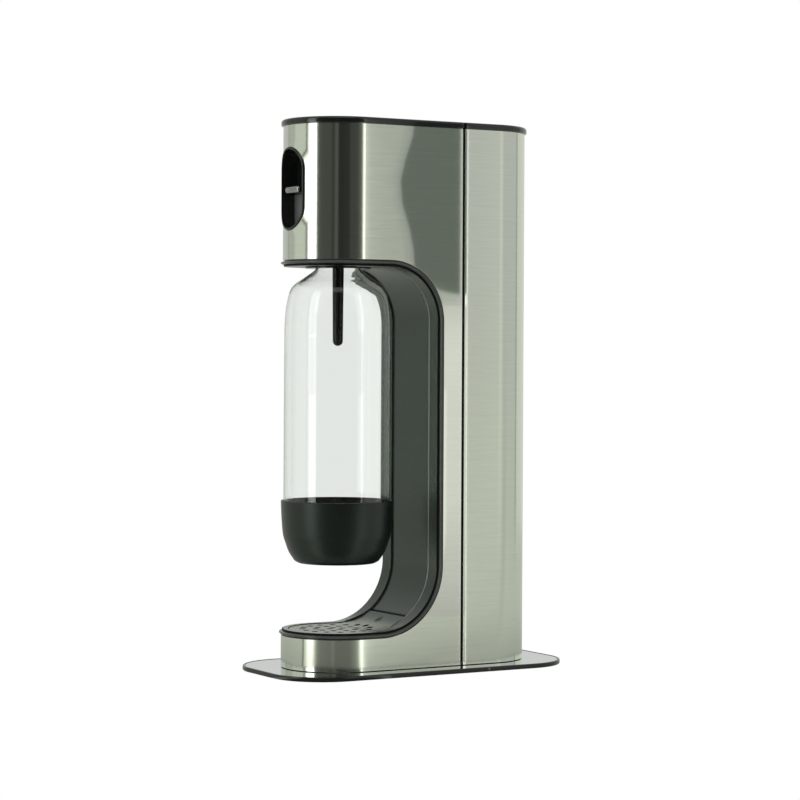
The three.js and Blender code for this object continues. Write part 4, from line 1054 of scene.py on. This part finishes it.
def bottle_cup():
    inside = [(CUP_INNER_RADIUS * r, CUP_FLOOR + z) for r, z in CUP_INNER_SHARES]
    profile = CUP_FOOT + smooth_profile(CUP_SIDE) + CUP_RIM + inside + [(AXIS, CUP_FLOOR)]
    shape = Shape().revolve(lifted(profile, CUP_BOTTOM), sides=160)
    new_piece("bottle_boot", shape, "bottle", "cup_plastic", ["bottle_cup"], sharp=40)


# Gas cylinder
def gas_cylinder():
    neck, edge, low, high = CYLINDER_NECK, CYLINDER_EDGE, CYLINDER_BOTTOM, CYLINDER_SHOULDER
    width = CYLINDER_RADIUS - neck
    profile = [(AXIS, low + edge), (CYLINDER_RADIUS / 2, low + edge / 2)]
    profile += arc(CYLINDER_RADIUS - edge, low + edge, edge, -90, 0, 12)
    profile += [(neck + width * x, high + CYLINDER_DOME * z) for x, z in arc(0, 0, 1, 0, 90, 18)]
    profile += [(neck, CYLINDER_TOP), (AXIS, CYLINDER_TOP)]
    shape = Shape().revolve(profile, (0.0, END_CENTRE), 96)
    new_piece("cylinder_shell", shape, "gas_cylinder", "cylinder_metal", ["gas_cylinder"])


# Socket and nozzle
def bottle_socket():
    shape = Shape().revolve(lifted(SOCKET_PROFILE, SOCKET_FACE))
    new_piece("neck_socket", shape, "housing", "black_plastic", ["bottle_socket"], sharp=40)


def nozzle():
    dome = arc(0, NOZZLE_BOTTOM + NOZZLE_TIP, NOZZLE_TIP, -90, 0, 10)
    profile = [(max(r, AXIS), z) for r, z in dome]
    profile += [(NOZZLE_RADIUS, SOCKET_FACE), (NOZZLE_RADIUS, NOZZLE_TOP), (AXIS, NOZZLE_TOP)]
    shape = Shape().revolve(profile, sides=48)
    new_piece("dip_nozzle", shape, "housing", "black_plastic", ["nozzle"], TUBE, sharp=40)


# Lever
def recess_ring(inset, radius):
    r = RECESS_RADIUS - inset
    low, high = RECESS_Z - RECESS_RISE, RECESS_Z + RECESS_RISE
    zs = np.linspace(low, high, 16)[1:-1]
    flat = arc(0, high, r, 0, 180, 32) + [(-r, z) for z in zs[::-1]]
    flat += arc(0, low, r, 180, 360, 32) + [(r, z) for z in zs]
    return on_nose(flat, radius)


def lever_bezel():
    proud = BODY_RADIUS + BEZEL_PROUD
    back = NOSE_Y + BEZEL_DEPTH
    mirrored = [(BEZEL_WALL - inset, drop) for inset, drop in reversed(BEZEL_EDGE[:-1])]
    rings = [[(x, back, z) for x, _, z in recess_ring(0.0, proud)]]
    rings += [recess_ring(inset, proud - drop) for inset, drop in BEZEL_EDGE + mirrored]
    rings.append([(x, back - BEZEL_BACK, z) for x, _, z in recess_ring(BEZEL_WALL, proud)])
    shape = Shape().loft(rings, capped=True)
    bezel = new_piece("nose_bezel", shape, "housing", "black_plastic", ["lever_bezel"])
    outline = circle(0, -END_CENTRE, APRON_RADIUS + GAP, 96)
    carve(bezel, Shape().prism(outline, HEAD_BOTTOM + ROOM_LIFT, TAB_TOP + 2 * GAP))


def lever_tab():
    middle = (TAB_BOTTOM + TAB_TOP) / 2
    outline = rounded_rectangle(TAB_HALF_X, TAB_HALF_Z, TAB_CORNER, 10)
    rings = []
    for shrink, inset in TAB_EDGE:
        share_x, share_z = 1 - shrink / TAB_HALF_X, 1 - shrink / TAB_HALF_Z
        places = [(x * share_x, middle + z * share_z) for x, z in outline]
        rings.append(on_nose(places, BODY_RADIUS - GAP - inset))
    rings.append([(x, NOSE_Y + TAB_DEPTH, middle + z) for x, z in outline])
    shape = Shape().loft(rings, capped=True)
    new_piece("finger_tab", shape, "lever", "bright_metal", ["lever_tab"], TAB, sharp=50)


def lever_apron():
    outer, inner, top = APRON_RADIUS, APRON_RADIUS - APRON_WALL, TAB_BOTTOM - GAP
    low = top - APRON_HEIGHT
    turn = math.degrees(math.asin(APRON_HALF / outer))
    profile = [(outer, low)] + [(outer - inset, top - drop) for inset, drop in APRON_EDGE]
    profile += [(inner, top), (inner, low), (outer, low)]
    shape = Shape().revolve(profile, sides=32, start=-90 - turn, end=turn - 90)
    # The apron in a grey lighter than the bay's plastic: painted light in the shaded recess
    new_piece("lever_shield", shape, "lever", "bay_plastic", ["lever_apron"], PAINTED_LIGHT_APRON, sharp=40)


for make in (
    front_skin, rear_skin, caps, base_pan, base_plate, bay_bead, bay_liner, panel_edge_highlight, seam_shade,
    bay_panel, tray_grille, tray_hole_shade, tray_pan, bottle_vessel, bottle_cup, gas_cylinder,
    bottle_socket, nozzle, lever_bezel, lever_tab, lever_apron,
):
    make()


# Studio: distances in metres, unless they come from the part
STUDIO_TINT = (0.96, 1.0, 0.9)
STRIP_TINT = (0.99, 0.985, 0.95)
AZIMUTH = 59.565
ROLL = 0.295
BACK = Vector((sine(AZIMUTH), -cosine(AZIMUTH), 0))
RIGHT = Vector((cosine(AZIMUTH), sine(AZIMUTH), 0))
UP = Vector((0, 0, 1))
NOSE_CENTRE = Vector((0, -END_CENTRE * MM, 0))
REAR_CENTRE = Vector((0, END_CENTRE * MM, 0))
CAMERA_PLACE = BACK * 2.00399 + RIGHT * -0.003747 + UP * 0.253065
LENS, LENS_SHIFT = 113.18, -0.06349

# Lamps: angle from the way to the camera, distance, height, width and tallness, power, height aimed at
LAMPS = {
    "strip_left": (-52.8, 1.4, 0.7, 0.415, 1.4, 4.1, 0.7),
    "strip_right": (56.0, 1.4, 0.7, 0.07, 1.4, 0.32, 0.7),
    "top_light": (10.0, 0.9, 1.7, 1.2, 1.2, 2.0, 0.2),
}

# Bent cards: the angles where each starts and ends, its level, and its centre, radius and low edge
CARD_RADIUS, CARD_TOP = 1.5, 1.6
FRONT_EDGES = (-44.0, -12.0, -6.0, 0.8, 12.0, 24.5, 43.0, 50.5, 52.5, 57.0, 58.6, 60.5, 62.8)
FRONT_LEVELS = (0.085, 0.05, 0.12, 0.03, 0.036, 0.072, 0.12, 0.4, 1.4, 0.7, 0.44, 0.49)
BENT_CARDS = {
    "dark_edge": (-69.0, -65.5, 0.05),
    "soft_edge": (-65.5, -60.9, 1.15),
    "left_line": (-126.0, -122.5, 0.42),
    "left_dim": (-122.5, -100.0, 0.58),
    "left_soft": (-100.0, -69.0, 0.76),
    "rear_light": (62.5, 71.0, 0.83, REAR_CENTRE, 1.4),
    "rear_line": (113.0, 117.0, 0.38, REAR_CENTRE),
    "rear_end": (117.0, 160.0, 0.82, REAR_CENTRE),
    "back_glow": (170.0, 192.0, 1.05, NOSE_CENTRE, 1.7, 0.245),
}

# Cards close to the flat side: the outline is where each shows on the steel, in y and z
SIDE_REACH, EDGE_REACH = 32.0, 38.0
SIDE_FLAG = [
    (-17, 445), (-19, 420), (-26, 400), (-30, 384), (-28.5, 366), (-22, 348), (-18, 330), (-17, 310),
    (0, 301), (12, 298), (25, 296), (25, 445),
]
FLAG_EDGE, FLAG_FRONT = 7.0, 5.0
EDGE_FLAG = [(y - FLAG_EDGE if y < FLAG_FRONT else y, z) for y, z in SIDE_FLAG]
SIDE_STRIP = [(2, 288), (28, 288), (28, 45), (-20, 45), (-20, 70), (2, 110)]
STRIP_LEVELS = [
    (45, 0.64), (69, 0.75), (93, 0.8), (133, 0.93), (212, 0.94), (244, 0.98), (268, 0.93), (288, 0.8),
]
STRIP_TOP = STRIP_LEVELS[-1][0]
SIDE_CARDS = {
    "side_flag": (SIDE_FLAG, (0.155, 0.178, 0.162), SIDE_REACH),
    "flag_edge": (EDGE_FLAG, (0.43, 0.45, 0.43), EDGE_REACH),
    "seam_line": ([(28.5, 1), (29.9, 1), (29.9, 428), (28.5, 428)], (2.6, 2.6, 2.5), SIDE_REACH),
    "bay_line": ([(10.2, 84), (12.0, 84), (12.0, 276), (10.2, 276)], (1.25, 1.25, 1.2), SIDE_REACH),
    "side_strip": (SIDE_STRIP, (0, 0, 0), SIDE_REACH),
}

# What reflections see of the floor: its level by the angle from the way to the camera
FLOOR_HALF = 12.0
FLOOR_ZONES = [
    (-180, 0.62), (-85, 0.7), (-74, 0.72), (-72.5, 0.12), (-70.5, 0.12), (-69, 1.0), (-65, 1.2),
    (-60, 1.9), (-51.5, 2.3), (-46.5, 1.4), (-41, 0.5), (-34, 0.3), (-10, 0.25), (-6, 0.33), (0, 0.23),
    (30, 0.24), (42, 0.4), (47.5, 0.6), (50, 1.1), (54, 2.2), (58.6, 2.4), (60.4, 0.8), (62.5, 0.76),
    (68, 0.73), (75, 0.7), (80, 0.64), (85, 0.6), (88, 0.72), (94, 0.7), (180, 0.6),
]
FLOOR_TOP = 2.8
FLOOR_BEND = 0.0245
FLOOR_NEAR = 0.7
FLOOR_REACH = (0.06, 0.45)


def camera():
    data = bpy.data.cameras.new("camera")
    data.sensor_width = 36.0
    data.lens = LENS
    data.shift_y = LENS_SHIFT
    data.clip_start = 0.05
    data.clip_end = 50.0
    obj = new_object("camera", data)
    right = RIGHT * cosine(ROLL) + UP * sine(ROLL)
    up = UP * cosine(ROLL) - RIGHT * sine(ROLL)
    turn = Matrix((right, up, BACK)).transposed().to_4x4()
    obj.matrix_world = Matrix.Translation(CAMERA_PLACE) @ turn
    bpy.context.scene.camera = obj


def toward(angle):
    """A level direction, angle degrees to the right of the way to the camera."""
    return BACK * cosine(angle) + RIGHT * sine(angle)


def lamp(name, angle, distance, height, width, tall, power, target_height):
    data = bpy.data.lights.new(name, "AREA")
    data.shape = "RECTANGLE"
    data.size = width
    data.size_y = tall
    data.energy = power
    obj = new_object(name, data)
    place = NOSE_CENTRE + toward(angle) * distance + UP * height
    way = place - NOSE_CENTRE - UP * target_height
    obj.matrix_world = Matrix.Translation(place) @ way.to_track_quat("Z", "Y").to_matrix().to_4x4()
    obj.visible_transmission = False


def seen_straight_through(tree):
    """Whether a ray has come through the clear plastic without any reflection."""
    straight = math_node(tree, "LESS_THAN", add(tree, "LightPath", output="Glossy Depth"), 0.5)
    return math_node(tree, "MULTIPLY", add(tree, "LightPath", output="Is Transmission Ray"), straight)


def white_where_seen(tree):
    """Whether a ray comes from the camera, or from it through the clear plastic."""
    from_camera = add(tree, "LightPath", output="Is Camera Ray")
    return math_node(tree, "MAXIMUM", from_camera, seen_straight_through(tree))


def glow_card(name, vertices, faces, level):
    """A flat or bent card, seen only in reflections."""
    mesh = bpy.data.meshes.new(name)
    mesh.from_pydata(vertices, [], faces)
    obj = new_object(name, mesh)
    material, tree = bare_material(name)
    glow = add(tree, "Emission", {"Color": (*level, 1)})
    mixed = mix_shaders(tree, seen_straight_through(tree), glow, add(tree, "BsdfTransparent"))
    add(tree, "OutputMaterial", {"Surface": mixed})
    paint(obj, material)
    obj.visible_camera = False
    obj.visible_diffuse = False
    obj.visible_shadow = False
    return obj


def bent_card(name, start, end, level, centre=NOSE_CENTRE, radius=CARD_RADIUS, low=0.0):
    vertices = []
    for angle in np.linspace(start, end, max(3, int(abs(end - start) / 3))):
        place = centre + toward(angle) * radius
        vertices += [tuple(place + UP * low), tuple(place + UP * CARD_TOP)]
    faces = [(i, i + 2, i + 3, i + 1) for i in range(0, len(vertices) - 2, 2)]
    glow_card(name, vertices, faces, tuple(level * c for c in STUDIO_TINT))


def bent_cards():
    for i, level in enumerate(FRONT_LEVELS):
        bent_card(f"dark_front_{i}", FRONT_EDGES[i], FRONT_EDGES[i + 1], level)
    for name, row in BENT_CARDS.items():
        bent_card(name, *row)


def side_card(name, outline, level, reach):
    """A card at the place that the steel mirrors to the camera at its outline."""
    eye = CAMERA_PLACE / MM
    points = []
    for y, z in outline:
        start = Vector((BODY_RADIUS, y, z))
        way = (start - eye).normalized()
        way.x = -way.x
        points.append((start + way * reach) * MM)
    return glow_card(name, points, [tuple(range(len(points)))], level)


def side_cards():
    """Dark and light cards beside the head, the seam and the strip between the bay and the seam."""
    cards = {name: side_card(name, *row) for name, row in SIDE_CARDS.items()}
    tree = cards["side_strip"].data.materials[0].node_tree
    z = add(tree, "SeparateXYZ", {"Vector": object_place(tree)}, "Z")
    height = add(tree, "MapRange", {"Value": z, "From Max": STRIP_TOP * MM})
    colors = level_ramp(tree, height, [(z / STRIP_TOP, level) for z, level in STRIP_LEVELS], STRIP_TINT)
    fill(tree, tree.nodes["Emission"], {"Color": colors})


def world():
    scene_world = bpy.data.worlds.new("studio")
    bpy.context.scene.world = scene_world
    scene_world.use_nodes = True
    tree = scene_world.node_tree
    tree.nodes.clear()
    white = add(tree, "Background", {"Color": (1, 1, 1, 1)})
    grey = add(tree, "Background", {"Color": (0.64, 0.65, 0.64, 1)})
    add(tree, "OutputWorld", {"Surface": mix_shaders(tree, white_where_seen(tree), grey, white)})


def near_shade(tree, place):
    """The floor's strength, less beside the machine than far from it."""
    x, y = (add(tree, "SeparateXYZ", {"Vector": place}, axis) for axis in "XY")
    along = math_node(tree, "SUBTRACT", math_node(tree, "ABSOLUTE", y), END_CENTRE * MM)
    away = add(tree, "CombineXYZ", {"X": x, "Y": math_node(tree, "MAXIMUM", along, 0.0)})
    return add(tree, "MapRange", {
        "Value": length_of(tree, away), "From Min": FLOOR_REACH[0], "From Max": FLOOR_REACH[1],
        "To Min": FLOOR_TOP * FLOOR_NEAR, "To Max": FLOOR_TOP,
    })


def floor_glow(tree):
    """What reflections see of the floor: the studio's zones, by the direction from the nose's axis."""
    place = object_place(tree)
    back_angle = math.atan2(BACK.y, BACK.x)
    turned_nose = Matrix.Rotation(-back_angle, 3, "Z") @ NOSE_CENTRE
    turn = add(tree, "Mapping", {
        "Vector": place, "Rotation": (0, 0, -back_angle), "Location": tuple(-turned_nose),
    })
    around = add(tree, "TexGradient", {"Vector": turn}, "Fac", gradient_type="RADIAL")
    bend = math_node(tree, "DIVIDE", FLOOR_BEND, length_of(tree, turn))
    side = math_node(tree, "SUBTRACT", around, 0.5)
    angle = math_node(tree, "MULTIPLY_ADD", side, bend, around)
    zones = [(degrees / 360 + 0.5, level / FLOOR_TOP) for degrees, level in FLOOR_ZONES]
    return add(tree, "Emission", {
        "Color": level_ramp(tree, angle, zones, STUDIO_TINT), "Strength": near_shade(tree, place),
    })


def floor():
    """White where the camera sees it, the studio's zones in reflections, and pale paint to other rays."""
    mesh = bpy.data.meshes.new("floor")
    corners = [(sx * FLOOR_HALF, sy * FLOOR_HALF, 0) for sx, sy in ((-1, -1), (1, -1), (1, 1), (-1, 1))]
    mesh.from_pydata(corners, [], [(0, 1, 2, 3)])
    obj = new_object("floor", mesh)
    material, tree = bare_material("floor")
    white = add(tree, "Emission", {"Color": (1, 1, 1, 1)})
    pale = add(tree, "BsdfDiffuse", {"Color": (0.86, 0.86, 0.85, 1)})
    mirrored = mix_shaders(tree, add(tree, "LightPath", output="Is Glossy Ray"), pale, floor_glow(tree))
    add(tree, "OutputMaterial", {"Surface": mix_shaders(tree, white_where_seen(tree), mirrored, white)})
    paint(obj, material)


def studio():
    bpy.context.scene.view_settings.view_transform = "Standard"
    world()
    floor()
    camera()
    for name, row in LAMPS.items():
        lamp(name, *row)
    bent_cards()
    side_cards()


studio()
